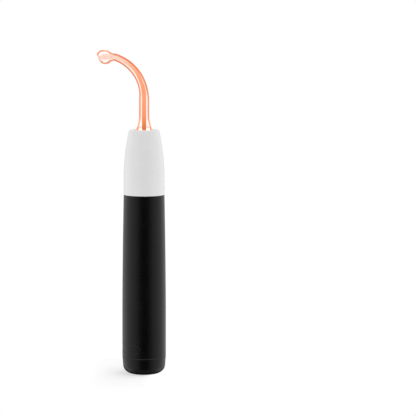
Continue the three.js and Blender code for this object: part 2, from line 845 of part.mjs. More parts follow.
function filterInductor() {
  const [outer, inner] = [inductorDiameter / 2, inductorDiameter / 2 - inductorGroove];
  const [low, high] = [inductorFlange, inductorHeight - inductorFlange];
  const geometry = revolved(outline(
    [0, 0], [outer, 0], [outer, low], [inner, low + inductorGroove / 2],
    [inner, high - inductorGroove / 2], [outer, high], [outer, inductorHeight], [0, inductorHeight],
  ), smallSides);
  return solid(geometry.rotateX(-Math.PI / 2).translate(0, mountPlane, partLevels.inductor));
}

function capacitor(side) {
  const level = partLevels.capacitors;
  const [bottom, top] = [level - capacitorLength / 2, level + capacitorLength / 2];
  const radius = capacitorDiameter / 2;
  const form = outline(
    [0, bottom], [radius - capacitorRound, bottom], [radius, bottom + capacitorRound],
    [radius, top - capacitorRound], [radius - capacitorRound, top], [0, top],
  );
  const geometry = revolved(form, smallSides);
  return solid(geometry.translate(side * capacitorSpacing / 2, mountPlane + radius, 0));
}

function transistorPlane() {
  return mountPlane + transistorThickness + seatGap;
}

// Finned sink over the transistor, as deep as the barrel leaves room for
function heatSink() {
  const level = partLevels.transistor;
  const wall = barrelRadius(level + sinkHeight / 2) - shellWall - 2 * seatGap;
  const depth = chord(wall, sinkWidth / 2) - transistorPlane();
  const pitch = (sinkWidth - sinkFinThickness) / (sinkFins - 1);
  const section = new THREE.Shape();
  section.moveTo(-sinkWidth / 2, 0);
  section.lineTo(sinkWidth / 2, 0);
  for (let fin = sinkFins - 1; fin >= 0; fin -= 1) {
    const left = fin * pitch - sinkWidth / 2;
    const right = left + sinkFinThickness;
    if (fin < sinkFins - 1) section.lineTo(right, sinkBase);
    section.lineTo(right, depth);
    section.lineTo(left, depth);
    if (fin > 0) section.lineTo(left, sinkBase);
  }
  const geometry = new THREE.ExtrudeGeometry(section, { depth: sinkHeight, bevelEnabled: false });
  return solid(geometry.translate(0, transistorPlane(), level - sinkHeight / 2));
}

// Charging socket: a thin metal mouth with a tongue in it
function chargePort() {
  const outer = pushed(pill(portWidth, portHeight), backAzimuth, mountPlane, portMouth, portLevel);
  const hollow = pill(portWidth - 2 * portWall, portHeight - 2 * portWall);
  const inside = pushed(hollow, backAzimuth, mountPlane + portBackWall, portMouth + cutOverrun, portLevel);
  const tongue = block(
    [-portTongueWidth / 2, mountPlane + portBackWall - portWall, portLevel - portTongueThickness / 2],
    [portTongueWidth / 2, portMouth - portTongueRecess, portLevel + portTongueThickness / 2],
  );
  return outer.subtract(inside).add(tongue);
}

function statusLed() {
  return chip(ledWidth, ledWidth, ledDepth, lightLevel);
}

// Light guide from the lamp to the surface of the handle
function ledLens() {
  const length = handleRadius - lensRecess - mountPlane - ledDepth - seatGap;
  const radius = lensDiameter / 2;
  const form = outline(
    [0, 0],
    [radius, 0],
    [radius, length - lensRound],
    [radius - lensRound, length],
    [0, length],
  );
  const geometry = revolved(form, smallSides).rotateX(-Math.PI / 2);
  return solid(geometry.translate(0, mountPlane + ledDepth + seatGap, lightLevel));
}

// Lithium cell with a raised button at its top
function batteryCell() {
  const button = cellButtonDiameter / 2;
  const can = cellTop - cellButtonHeight;
  const geometry = revolved(outline(
    [0, cellBottom],
    [cellRadius - cellEdgeRound, cellBottom],
    [cellRadius, cellBottom + cellEdgeRound],
    [cellRadius, can - cellEdgeRound],
    [cellRadius - cellEdgeRound, can],
    [button, can],
    [button, cellTop],
    [0, cellTop],
  ), fitSides);
  return solid(geometry.translate(0, -cellOffset, 0));
}

// Cone spring of one wire under the cell
class ConeSpring extends THREE.Curve {
  getPoint(t) {
    const angle = t * springTurns * Math.PI * 2;
    const radius = THREE.MathUtils.lerp(springWideDiameter, springNarrowDiameter, t) / 2;
    const low = shelfTop + seatGap + springWire / 2;
    const height = THREE.MathUtils.lerp(low, cellBottom - seatGap - springWire / 2, t);
    return new THREE.Vector3(Math.cos(angle) * radius, Math.sin(angle) * radius - cellOffset, height);
  }
}

function batterySpring() {
  return wire(new ConeSpring(), springWire, springTurns * springSteps);
}

// Contact plate between the cell and the deck
function batteryContact() {
  const bottom = cellTop + seatGap;
  return block(
    [-contactWidth / 2, -cellOffset - contactWidth / 2, bottom],
    [contactWidth / 2, spineFront - seatGap, bottom + contactThickness],
  );
}

// Sectioned former of the high voltage coil
function coilFormer() {
  const points = outline([formerBore, coilBottom]);
  for (let i = 0; i <= formerSections; i += 1) {
    const bottom = coilBottom + i * sectionPitch;
    if (i > 0) points.push(...outline([formerRadius, bottom]));
    points.push(...outline([flangeRadius, bottom], [flangeRadius, bottom + flangeThickness]));
    if (i < formerSections) points.push(...outline([formerRadius, bottom + flangeThickness]));
  }
  points.push(...outline([formerBore, coilTop]));
  return turned(points, coreSides);
}

// Winding in one section of the former, filled to a share of its depth
function winding(section, fillShare) {
  const inner = formerRadius + seatGap;
  const outer = THREE.MathUtils.lerp(inner, flangeRadius, fillShare);
  const bottom = coilBottom + section * sectionPitch + flangeThickness + seatGap;
  const top = coilBottom + (section + 1) * sectionPitch - seatGap;
  return tube(inner, outer, bottom, top);
}

function coilSleeve() {
  return tube(sleeveInner, sleeveOuter, coilBottom, coilTop, fitSides);
}

function ferriteCore() {
  return bar(coreRodRadius, coilBottom, coilTop - coreRodInset, smallSides);
}

// Lead from the top of the coil to the stem of the contact clip
function hvLead() {
  const start = coilTop + seatGap;
  const end = socketBottom - clipStemDrop - seatGap;
  const middle = (start + end) / 2;
  const offset = (formerRadius + flangeRadius) / 2;
  const curve = new THREE.CubicBezierCurve3(
    new THREE.Vector3(offset, 0, start),
    new THREE.Vector3(offset, 0, middle),
    new THREE.Vector3(0, 0, middle),
    new THREE.Vector3(0, 0, end),
  );
  return wire(curve, hvLeadDiameter, leadSteps);
}

// Insulator of the socket: a deep cup with a flange at each end
function electrodeSocket() {
  const reach = (z) => noseRadius(z) - shellWall - seatGap;
  const outer = socketBore + socketWall;
  const stemHole = clipStemDiameter / 2 + seatGap;
  const lowFlange = socketBottom + socketFlange;
  const topFlange = socketTop - socketTopFlange;
  const ringHole = ringOuter + seatGap;
  return turned(outline(
    [stemHole, socketBottom],
    [reach(lowFlange), socketBottom],
    [reach(lowFlange), lowFlange],
    [outer, lowFlange],
    [outer, topFlange],
    [reach(socketTop), topFlange],
    [reach(socketTop), socketTop],
    [ringHole, socketTop],
    [ringHole, ringSeat],
    [socketBore, ringSeat],
    [socketBore, socketFloorTop],
    [stemHole, socketFloorTop],
  ), fitSides);
}

// Brass clip: a slotted cup of spring fingers on a stem
function contactClip() {
  const stem = clipStemDiameter / 2;
  const rim = clipTop + clipHeight;
  let clip = turned(outline(
    [0, socketBottom - clipStemDrop],
    [stem, socketBottom - clipStemDrop],
    [stem, clipBottom],
    [clipOuter, clipBottom],
    [clipOuter, rim],
    [clipInner, rim],
    [clipInner, clipTop],
    [0, clipTop],
  ), fitSides);
  for (let i = 0; i < clipSlots; i += 1) {
    const half = clipSlotWidth / 2;
    const reach = clipOuter + cutOverrun;
    const slot = new THREE.BoxGeometry(2 * reach, 2 * half, clipHeight + cutOverrun);
    slot.translate(0, 0, clipTop + clipSlotRise + (clipHeight + cutOverrun) / 2);
    clip = clip.subtract(solid(slot.rotateZ(i * Math.PI / clipSlots)));
  }
  return clip;
}

function gripRing() {
  const [bottom, top] = [socketTop - ringHeight, socketTop];
  return turned(outline(
    [ringInner, bottom + ringRound], [ringInner + ringRound, bottom],
    [ringOuter - ringRound, bottom], [ringOuter, bottom + ringRound],
    [ringOuter, top - ringRound], [ringOuter - ringRound, top],
    [ringInner + ringRound, top], [ringInner, top - ringRound],
  ), fitSides);
}

// Metal cap on the foot of the electrode
function electrodeCap() {
  const [outer, tip] = [capDiameter / 2, capTipDiameter / 2];
  const inner = outer - capWall;
  return turned(outline(
    [0, capBottom - capTipHeight],
    [tip, capBottom - capTipHeight],
    [tip + capTipHeight, capBottom],
    [outer - capWall, capBottom],
    [outer, capBottom + capWall],
    [outer, capTop],
    [inner, capTop],
    [inner, capBottom + capFloor],
    [0, capBottom + capFloor],
  ), fitSides);
}

function leadInWire() {
  return bar(leadInDiameter / 2, glassBottom, glassBottom + leadInLength, wireSides);
}

// Place on the centre line of the electrode after the start of the bend, by the angle turned
function bendPoint(angle) {
  return new THREE.Vector3(
    bendRadius * (Math.cos(angle) - 1), 0, bendLevel + bendRadius * Math.sin(angle),
  );
}

function acrossBend(angle) {
  return new THREE.Vector3(Math.cos(angle), 0, Math.sin(angle));
}

function alongBend(angle) {
  return new THREE.Vector3(-Math.sin(angle), 0, Math.cos(angle));
}

// Place on the straight line of the head after the end of the bend
function headPoint(reach) {
  return bendPoint(bendTurn).addScaledVector(alongBend(headTurn), reach);
}

function uprightRing(radius, level) {
  return { centre: new THREE.Vector3(0, 0, level), radius, across: acrossBend(0) };
}

// Rings of a ball at the head, starting where it is as wide as the tube that feeds it
function ballRings(radius, neck) {
  const rings = [];
  const start = Math.asin(neck / radius);
  for (let i = 0; i < headSteps; i += 1) {
    const angle = THREE.MathUtils.lerp(start, Math.PI, i / headSteps);
    const reach = headReach - Math.cos(angle) * radius;
    rings.push({ centre: headPoint(reach), radius: Math.sin(angle) * radius, across: acrossBend(headTurn) });
  }
  return rings;
}

// Blown glass of the electrode: plug, shoulder, flare, stem, bend and head, with a fine bore
function electrodeGlass() {
  const stem = glassStemDiameter / 2;
  const neck = glassNeckDiameter / 2;
  const head = headDiameter / 2;
  const flareBottom = flareTop - flareLength;
  const shoulderTop = capTop + seatGap + footShoulder;
  const flareRadius = (z) => (
    THREE.MathUtils.lerp(stem, glassFootRadius, ((flareTop - z) / flareLength) ** flarePower)
  );
  const rings = [
    uprightRing(glassPlugRadius, glassBottom),
    uprightRing(glassPlugRadius, capTop + seatGap),
    uprightRing(glassFootRadius, shoulderTop),
    ...climb(flareBottom, flareTop, taperSteps, flareRadius).map(({ x, y }) => uprightRing(x, y)),
  ];
  for (let i = 0; i <= bendSteps; i += 1) {
    const angle = bendTurn * i / bendSteps;
    const radius = THREE.MathUtils.lerp(stem, neck, i / bendSteps);
    rings.push({ centre: bendPoint(angle), radius, across: acrossBend(angle) });
  }
  rings.push(...ballRings(head, neck));
  const outside = skin(rings, rings[0].centre, headPoint(headReach + head), glassSides);
  return outside.add(pip()).subtract(bore());
}

// Gas channel: a fine bore that opens into the hollow of the head
function bore() {
  const radius = boreDiameter / 2;
  const hollow = headDiameter / 2 - headWall;
  const rings = [uprightRing(radius, glassBottom - cutOverrun)];
  for (let i = 0; i <= bendSteps; i += 1) {
    const angle = bendTurn * i / bendSteps;
    rings.push({ centre: bendPoint(angle), radius, across: acrossBend(angle) });
  }
  rings.push(...ballRings(hollow, radius));
  return skin(rings, rings[0].centre, headPoint(headReach + hollow), boreSides);
}

// Sealed tip of the head, where the glass was drawn off: it leaves the top of the ball and points down
function pip() {
  const radius = pipDiameter / 2;
  const rise = headDiameter / 2 - radius;
  const length = Math.sqrt(headDiameter ** 2 / 4 - rise ** 2) + pipReach;
  const out = new THREE.Vector3(-Math.cos(pipTilt), 0, -Math.sin(pipTilt));
  const across = new THREE.Vector3(-Math.sin(pipTilt), 0, Math.cos(pipTilt));
  const at = (reach) => headPoint(headReach).addScaledVector(across, rise).addScaledVector(out, reach);
  const rings = [
    { centre: at(0), radius, across },
    { centre: at(length - radius), radius, across },
    { centre: at(length - radius * pipShares.round), radius: radius * pipShares.tip, across },
  ];
  return skin(rings, at(0), at(length), boreSides);
}

add('handle_barrel', handleBarrel(), '#17181a', 0.42);
add('nose_cone', noseCone(), '#e9e9ea', 0.4);
add('intensity_dial', intensityDial(), '#17181a', 0.42);
add('power_button', powerButton(), '#191a1c', 0.4);
add('potentiometer_shaft', potentiometerShaft(), '#c9cbd0', 0.3, 1);
add('potentiometer_body', potentiometerBody(), '#3a6b4a', 0.6);
add('potentiometer_nut', potentiometerNut(), '#c9cbd0', 0.3, 1);
add('switch_plunger', switchPlunger(), '#b5342c', 0.5);
add('tact_switch', tactSwitch(), '#1c1c1e', 0.6);
add('switch_board', switchBoard(), '#1f6b3a', 0.55);
add('chassis_frame', chassisFrame(), '#dcdcd6', 0.6);

for (const [i, azimuth] of bossAzimuths.entries()) {
  add(`chassis_screw_${i + 1}`, chassisScrew(azimuth), '#9a9ca1', 0.35, 1);
}
add('main_board', mainBoard(), '#1f6b3a', 0.55);
for (const [i, place] of boardScrewPlaces().entries()) {
  add(`board_screw_${i + 1}`, boardScrew(place), '#9a9ca1', 0.35, 1);
}
add('charger_chip', chip(chargerWidth, chargerWidth, chargerThickness, partLevels.charger), '#18181a', 0.5);
add('controller_chip', controllerChip(), '#18181a', 0.5);
add('filter_inductor', filterInductor(), '#3b3b40', 0.6);
add('capacitor_1', capacitor(-1), '#23314f', 0.4);
add('capacitor_2', capacitor(1), '#23314f', 0.4);
add('driver_transistor', driverTransistor(), '#18181a', 0.5);
add('heat_sink', heatSink(), '#b9bcc2', 0.4, 1);
add('charge_port', chargePort(), '#b4b7bc', 0.3, 1);
add('status_led', statusLed(), '#e8e6d8', 0.4);
add('led_lens', ledLens(), '#e6eef0', 0.2);
add('battery_cell', batteryCell(), '#2f7d57', 0.45);
add('battery_spring', batterySpring(), '#c3c6cb', 0.3, 1);
add('battery_contact', batteryContact(), '#c3c6cb', 0.3, 1);
add('coil_former', coilFormer(), '#ece7d8', 0.6);
add('primary_winding', winding(0, windingFillShares.primary), '#a85a2a', 0.4, 1);
for (let i = 1; i < formerSections; i += 1) {
  add(`secondary_winding_${i}`, winding(i, windingFillShares.secondary), '#b8682f', 0.4, 1);
}
add('ferrite_core', ferriteCore(), '#3a3a3e', 0.7);
add('coil_sleeve', coilSleeve(), '#c9b98a', 0.5);
add('hv_lead', hvLead(), '#c33a2c', 0.5);
add('electrode_socket', electrodeSocket(), '#e4e2dc', 0.5);
add('contact_clip', contactClip(), '#c9a24a', 0.3, 1);
add('grip_ring', gripRing(), '#d3cec6', 0.6);
add('electrode_cap', electrodeCap(), '#c5c8cd', 0.25, 1);
add('lead_in_wire', leadInWire(), '#9a9a9e', 0.3, 1);
add('electrode_glass', electrodeGlass(), '#f6b08c', 0.05);

export default wand;
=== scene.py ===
# %% [markdown]
# # Dressing a high frequency wand
# The wand is a cordless handle with a white nose, and in the nose stands a bent electrode of blown
# glass that glows orange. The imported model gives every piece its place. This lesson makes the pieces
# that show, one after another, and gives each of them, and each inner part, a finish of its own.

import math

import bmesh
import bpy
from mathutils import Matrix, Vector


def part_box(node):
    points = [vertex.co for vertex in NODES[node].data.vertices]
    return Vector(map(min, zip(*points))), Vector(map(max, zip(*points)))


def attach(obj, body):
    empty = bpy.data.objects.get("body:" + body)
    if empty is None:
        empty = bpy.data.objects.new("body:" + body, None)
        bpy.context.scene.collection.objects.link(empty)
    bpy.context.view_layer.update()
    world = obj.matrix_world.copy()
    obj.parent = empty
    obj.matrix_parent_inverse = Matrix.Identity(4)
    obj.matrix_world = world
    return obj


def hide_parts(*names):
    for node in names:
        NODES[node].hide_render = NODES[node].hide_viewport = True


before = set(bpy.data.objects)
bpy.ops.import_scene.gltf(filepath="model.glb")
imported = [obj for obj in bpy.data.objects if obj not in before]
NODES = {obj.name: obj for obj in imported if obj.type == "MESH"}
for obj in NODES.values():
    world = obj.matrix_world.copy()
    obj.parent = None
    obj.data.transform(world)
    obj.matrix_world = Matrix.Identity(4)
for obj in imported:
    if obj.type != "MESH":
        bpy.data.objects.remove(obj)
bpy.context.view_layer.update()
MM = 0.001

# %% [markdown]
# ## Camera
# The photograph was taken from far away with a long lens, a little from above, and the camera looks
# past the wand on its right. A shift of the lens could do that too. Standing the camera there keeps
# the lens plain, so the wand is seen as it was. A very small roll keeps the handle upright in the frame.

# %% Stand the camera where the photograph was taken
def in_scene(name, data):
    """An object with this data, linked into the scene."""
    thing = bpy.data.objects.new(name, data)
    bpy.context.scene.collection.objects.link(thing)
    return thing


camera_data = bpy.data.cameras.new("wand_camera")
camera_data.sensor_width = 36.0
camera_data.lens = 174.08
camera_data.clip_end = 10.0
camera = in_scene("wand_camera", camera_data)
CAMERA_PLACE = Vector((0.0479, -1.5, 0.280))
CAMERA_DOWN = 5.888
CAMERA_PITCH = math.radians(90 - CAMERA_DOWN)
CAMERA_ROLL = 0.0031
camera.matrix_world = (
    Matrix.Translation(CAMERA_PLACE)
    @ Matrix.Rotation(CAMERA_PITCH, 4, "X")
    @ Matrix.Rotation(CAMERA_ROLL, 4, "Z")
)
bpy.context.scene.camera = camera
bpy.context.scene.view_settings.view_transform = "Standard"
print("camera at", tuple(CAMERA_PLACE), "lens", camera_data.lens)

# %% [markdown]
# ## Setting nodes
# The light of the room and every finish are small networks of nodes. They could be laid by hand in the
# node editor. One helper makes a node, sets its options, and gives each input a value or a link, and a
# few short ones use it for sums, maps and mixes, so that a network reads as a list of its steps.

# %% Helpers that set nodes
def set_node(tree, kind, inputs=None, **options):
    """A node whose inputs get plain values, or links where they are given another node's output."""
    node = tree.nodes.new("ShaderNode" + kind)
    for name, value in options.items():
        setattr(node, name, value)
    for socket, value in (inputs or {}).items():
        if isinstance(value, bpy.types.NodeSocket):
            tree.links.new(value, node.inputs[socket])
        else:
            node.inputs[socket].default_value = value
    return node


def figured(tree, operation, *values):
    """One step of arithmetic on values or outputs."""
    return set_node(tree, "Math", dict(enumerate(values)), operation=operation).outputs[0]


def mapped(tree, source, start, end, at_start=0.0, at_end=1.0, **options):
    """A value that goes from at_start to at_end while the source goes from start to end."""
    return set_node(tree, "MapRange", {
        "Value": source, "From Min": start, "From Max": end, "To Min": at_start, "To Max": at_end,
    }, **options).outputs[0]


def blended(tree, share, first, second):
    """A colour that goes from the first to the second by a share."""
    return set_node(tree, "Mix", {"Factor": share, 6: first, 7: second}, data_type="RGBA").outputs[2]


def shader_mix(tree, share, first, second):
    return set_node(tree, "MixShader", {"Fac": share, 1: first.outputs[0], 2: second.outputs[0]})


def empty_material(name):
    material = bpy.data.materials.new(name)
    material.use_nodes = True
    material.node_tree.nodes.clear()
    return material


print("materials that came with the packed wand:", len(bpy.data.materials))

# %% [markdown]
# ## Light round the wand
# The background is white, and the black handle is near black in front and grey at its sides. That is
# the room it reflects: dark behind the camera, bright at the sides and less bright behind the wand.
# Lamps could make it, with their own edges and noise. A world colour that changes with the bearing is
# smooth. The ceiling is white, the ground dark, and the camera and the glass see plain white. Surfaces
# that scatter light get a soft one instead, a little stronger from behind and weaker from above.

# %% Levels of the room
SHINE_STOPS = [
    (0.0, 0.0), (0.02, 0.01), (0.05, 0.10), (0.16, 0.35), (0.36, 0.53),
    (0.62, 0.75), (0.76, 0.88), (0.87, 0.80), (0.94, 0.60), (1.0, 0.40),
]
ROOM_TURN = math.radians(-5)
# Each band: its level, the height at which it starts, the height at which it is full, and whether it
# lies only behind the wand.
SHINE_BANDS = {
    "ground": (0.15, -0.5, -0.95, False),
    "low behind the wand": (0.02, -0.15, -0.45, True),
    "backdrop": (1.0, 0.02, 0.16, True),
    "ceiling": (1.1, 0.2, 0.6, False),
}
BEHIND_WAND = (0.6, 0.9)
SOFT_FROM_BACK = 0.25
SOFT_FROM_ABOVE = -0.2
WHITE = (1.0, 1.0, 1.0, 1.0)

world = bpy.data.worlds.new("studio")
bpy.context.scene.world = world
world.use_nodes = True
studio = world.node_tree
studio.nodes.clear()


def share_between(source, low, high):
    """How far a value has come from low to high, eased at both ends."""
    return mapped(studio, source, low, high, interpolation_type="SMOOTHSTEP")


def raised(level, target, share):
    """The level, drawn towards a target by a share."""
    return set_node(studio, "Mix", {"Factor": share, 2: level, 3: target}, data_type="FLOAT").outputs[0]


def sloped(source, slope, level):
    """A level that changes in step with a value."""
    return figured(studio, "MULTIPLY_ADD", source, slope, level)


print("stops round the room:", len(SHINE_STOPS))

# %% Colour the world by direction
direction = set_node(studio, "TexCoord").outputs["Generated"]
axes = set_node(studio, "SeparateXYZ", {0: direction}).outputs
turned_room = set_node(
    studio, "VectorRotate", {"Vector": direction, "Angle": ROOM_TURN}, rotation_type="Z_AXIS",
)
level_part = set_node(
    studio, "VectorMath", {0: turned_room.outputs[0], 1: (1.0, 1.0, 0.0)}, operation="MULTIPLY",
)
bearing = set_node(studio, "VectorMath", {0: level_part.outputs[0]}, operation="NORMALIZE")
to_back = set_node(studio, "SeparateXYZ", {0: bearing.outputs[0]}).outputs["Y"]
shine = set_node(studio, "ValToRGB", {0: sloped(to_back, 0.5, 0.5)})
stops = shine.color_ramp.elements
while len(stops) < len(SHINE_STOPS):
    stops.new(0.5)
for stop, (place, level) in zip(stops, SHINE_STOPS):
    stop.position = place
    stop.color = (level, level, level, 1.0)

behind = share_between(to_back, *BEHIND_WAND)
shine_level = shine.outputs["Color"]
for target, start, full, only_behind in SHINE_BANDS.values():
    share = share_between(axes["Z"], start, full)
    if only_behind:
        share = figured(studio, "MULTIPLY", behind, share)
    shine_level = raised(shine_level, target, share)
soft_level = sloped(axes["Z"], SOFT_FROM_ABOVE, sloped(axes["Y"], SOFT_FROM_BACK, 1.0))
print("bands of the room:", ", ".join(SHINE_BANDS))

# %% Show plain white to the camera and through the glass
paths = set_node(studio, "LightPath").outputs
white_rays = figured(studio, "MAXIMUM", paths["Is Camera Ray"], paths["Transmission Depth"])
lit = blended(studio, paths["Is Glossy Ray"], soft_level, shine_level)
background = set_node(studio, "Background", {"Color": blended(studio, white_rays, lit, WHITE)})
set_node(studio, "OutputWorld", {"Surface": background.outputs[0]})
print("world nodes:", len(studio.nodes))

# %% [markdown]
# ## Floor and its faint shadow
# The wand leaves only a pale shadow, on the left of its foot, that fades within a few centimetres, and
# the floor runs into the white backdrop. A lit floor would need far more light than the wand can take.
# So the floor glows white by itself, and only a patch of it beside the foot also takes the light of
# three broad lamps from the right, which are linked to the floor alone.

# %% Make the floor and its lamps
FLOOR_HALF = 1.6
FLOOR_DROP = 0.00005
FLOOR_TONE = 0.1
SHADOW_DEPTH = 0.25
PATCH_LEFT = (-0.040, -0.012)
PATCH_RIGHT = (-0.001, 0.006)
PATCH_DEPTH = (0.056, 0.064)
LAMP_ANGLE = math.radians(40)
LAMP_TURNS = (-38, 0, 38)
LAMP_RISE = math.radians(42)
LAMP_STRENGTH = SHADOW_DEPTH * math.pi / (FLOOR_TONE * math.sin(LAMP_RISE) * len(LAMP_TURNS))

floor_mesh = bpy.data.meshes.new("floor")
floor_mesh.from_pydata(
    [(x * FLOOR_HALF, y * FLOOR_HALF, 0.0) for x, y in ((-1, -1), (1, -1), (1, 1), (-1, 1))],
    [], [(0, 1, 2, 3)],
)
floor = in_scene("floor", floor_mesh)
floor.location.z = -FLOOR_DROP
floor.visible_glossy = False
floor.visible_diffuse = False
floor.visible_transmission = False

floor_paint = empty_material("floor_paint")
paint = floor_paint.node_tree
floor_place = set_node(paint, "TexCoord").outputs["Object"]
floor_axes = set_node(paint, "SeparateXYZ", {0: floor_place}).outputs
patch_left = mapped(paint, floor_axes["X"], *PATCH_LEFT)
patch_right = mapped(paint, floor_axes["X"], *PATCH_RIGHT, 1.0, 0.0)
patch_depth = mapped(paint, figured(paint, "ABSOLUTE", floor_axes["Y"]), *PATCH_DEPTH, 1.0, 0.0)
patch = figured(paint, "MULTIPLY", figured(paint, "MULTIPLY", patch_left, patch_right), patch_depth)
matt = set_node(paint, "BsdfDiffuse", {"Color": (FLOOR_TONE, FLOOR_TONE, FLOOR_TONE, 1.0)})
glow = set_node(paint, "Emission", {"Strength": 1.0})
under_glow = set_node(paint, "Emission", {"Strength": 1.0 - FLOOR_TONE - SHADOW_DEPTH})
both = set_node(paint, "AddShader", {0: matt.outputs[0], 1: under_glow.outputs[0]})
floor_mix = shader_mix(paint, patch, glow, both)
set_node(paint, "OutputMaterial", {"Surface": floor_mix.outputs[0]})
floor_mesh.materials.append(floor_paint)

only_floor = bpy.data.collections.new("lit_by_shadow_lamps")
only_floor.objects.link(floor)
for number, turn in enumerate(LAMP_TURNS, start=1):
    lamp_data = bpy.data.lights.new(f"shadow_lamp_{number}", "SUN")
    lamp_data.energy = LAMP_STRENGTH
    lamp_data.angle = LAMP_ANGLE
    lamp = in_scene(f"shadow_lamp_{number}", lamp_data)
    lamp_from = Vector((math.cos(math.radians(turn)), math.sin(math.radians(turn)), math.tan(LAMP_RISE)))
    lamp.rotation_euler = lamp_from.to_track_quat("Z", "Y").to_euler()
    lamp.light_linking.receiver_collection = only_floor
print("floor half width, m:", FLOOR_HALF, "lamps:", len(LAMP_TURNS))

# %% [markdown]
# ## Sizes of the outside
# The shells were turned from a few numbers: the diameters at the handle and the seam, and the heights
# of the joints between the shells. They are repeated here in millimetres. The boxes of the packed
# pieces are printed below them, so that a skin that drifts from the part it stands for is noticed.

# %% Sizes that the outer pieces share
HANDLE_RADIUS = 16.4
SEAM_RADIUS = 15.3
NOSE_TOP_RADIUS = 11.2
BARREL_BOTTOM = 13.1
TAPER_LEVEL = 45.1
TAPER_POWER = 1.6
SEAM_LEVEL = 135.0
NOSE_BOTTOM = 135.3
NOSE_CURVE_LEVEL = 147.3
NOSE_TOP = 184.0
SHELL_WALL = 2.0


def barrel_radius(z):
    share = max(0.0, (z - TAPER_LEVEL) / (SEAM_LEVEL - TAPER_LEVEL))
    return HANDLE_RADIUS - (HANDLE_RADIUS - SEAM_RADIUS) * share ** TAPER_POWER


def nose_radius(z):
    share = max(0.0, (z - NOSE_CURVE_LEVEL) / (NOSE_TOP - NOSE_CURVE_LEVEL))
    return SEAM_RADIUS - (SEAM_RADIUS - NOSE_TOP_RADIUS) * share ** 2


for node_name in ("intensity_dial", "handle_barrel", "nose_cone", "electrode_glass"):
    low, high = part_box(node_name)
    print(node_name, "mm", [round(v / MM, 2) for v in (*low, *high)])

# %% [markdown]
# ## Turning on a lathe
# Most pieces of the wand are round, so they are turned: an outline in radius and height is swept round
# the axis. A screw modifier would do the same. Writing the rings straight into a mesh keeps control
# of where each edge is soft, and its corners get a small rounding as a mould gives them.

# %% Helpers for outlines and turned meshes
SHELL_SIDES = 192
SHARP_ANGLE = math.radians(38)
CORNER_STEPS = 5
MERGE_DISTANCE = 1e-7
ON_AXIS = 1e-6


def rounded(points):
    """Outline points as (radius, height) or (radius, height, rounding), with the corners rounded."""
    result = []
    count = len(points)
    for i, point in enumerate(points):
        here = Vector(point[:2])
        if len(point) < 3:
            result.append(here)
            continue
        before = Vector(points[i - 1][:2]) - here
        after = Vector(points[(i + 1) % count][:2]) - here
        start = here + before.normalized() * min(point[2], before.length / 2)
        end = here + after.normalized() * min(point[2], after.length / 2)
        for step in range(CORNER_STEPS + 1):
            t = step / CORNER_STEPS
            result.append(start * (1 - t) ** 2 + here * 2 * t * (1 - t) + end * t ** 2)
    return result


def soft_shaded(mesh):
    """Soft shading, with the sharp edges marked."""
    mesh.shade_smooth()
    mesh.set_sharp_from_angle(angle=SHARP_ANGLE)
    return mesh


def mesh_object(name, corners, faces):
    """An object from corners in millimetres."""
    mesh = bpy.data.meshes.new(name)
    mesh.from_pydata([tuple(Vector(c) * MM) for c in corners], [], faces)
    shape = bmesh.new()
    shape.from_mesh(mesh)
    bmesh.ops.remove_doubles(shape, verts=shape.verts, dist=MERGE_DISTANCE)
    bmesh.ops.recalc_face_normals(shape, faces=shape.faces)
    shape.to_mesh(mesh)
    shape.free()
    return in_scene(name, soft_shaded(mesh))


def loft(name, rings, closed=False):
    """A skin over rings of equal count. Open ends are closed with a face or, for one corner, a point."""
    count = max(len(ring) for ring in rings)
    corners = [corner for ring in rings for corner in (list(ring) * count)[:count]]
    faces = []
    last = len(rings) if closed else len(rings) - 1
    for i in range(last):
        a, b = i * count, (i + 1) % len(rings) * count
        for j in range(count):
            k = (j + 1) % count
            faces.append((a + j, a + k, b + k, b + j))
    if not closed:
        for ring, start in ((rings[0], 0), (rings[-1], (len(rings) - 1) * count)):
            if len(ring) > 1:
                faces.append(tuple(range(start, start + count)))
    return mesh_object(name, corners, faces)


def disc_ring(radius, sides=48):
    """Corners of a circle, walked round once, as (x, y)."""
    turns = [2 * math.pi * i / sides for i in range(sides)]
    return [(radius * math.cos(turn), radius * math.sin(turn)) for turn in turns]


def turned(name, outline, sides=SHELL_SIDES, centre=(0.0, 0.0)):
    """An outline swept round the upright axis through centre."""
    rings = []
    for radius, height in outline:
        if radius < ON_AXIS:
            rings.append([(centre[0], centre[1], height)])
            continue
        rings.append([(centre[0] + x, centre[1] + y, height) for x, y in disc_ring(radius, sides)])
    closed = len(rings[0]) > 1 and len(rings[-1]) > 1
    return loft(name, rings, closed=closed)


def heights(start, end, steps):
    return [start + (end - start) * i / steps for i in range(steps + 1)]


print("sides of a turned shell:", SHELL_SIDES)

# %% [markdown]
# ## Working at an angle round the handle
# The button, the charging mouth and the lamp look outwards from the handle at their own angle.
# Each is drawn flat, with x round the handle and y upwards, and then turned to face that way.

# %% Helpers for pieces that face outwards
BACK = math.pi


def facing(azimuth, level):
    """Matrix that takes x round the handle, y up and z outwards, in millimetres."""
    out = Vector((math.sin(azimuth), -math.cos(azimuth), 0.0))
    across = Vector((-out.y, out.x, 0.0))
    place = Matrix((across, Vector((0, 0, 1)), out)).transposed().to_4x4()
    place.translation = Vector((0.0, 0.0, level))
    return place


def pill_ring(width, height, straight_steps=40, arc_steps=16):
    """Corners of a pill shape, walked round once, as (x, y)."""
    radius = height / 2
    half = width / 2 - radius
    ring = [(x, -radius) for x in heights(-half, half, straight_steps)]
    for i in range(1, arc_steps):
        angle = -math.pi / 2 + math.pi * i / arc_steps
        ring.append((half + radius * math.cos(angle), radius * math.sin(angle)))
    ring += [(x, radius) for x in heights(half, -half, straight_steps)]
    for i in range(1, arc_steps):
        angle = math.pi / 2 + math.pi * i / arc_steps
        ring.append((-half + radius * math.cos(angle), radius * math.sin(angle)))
    return ring


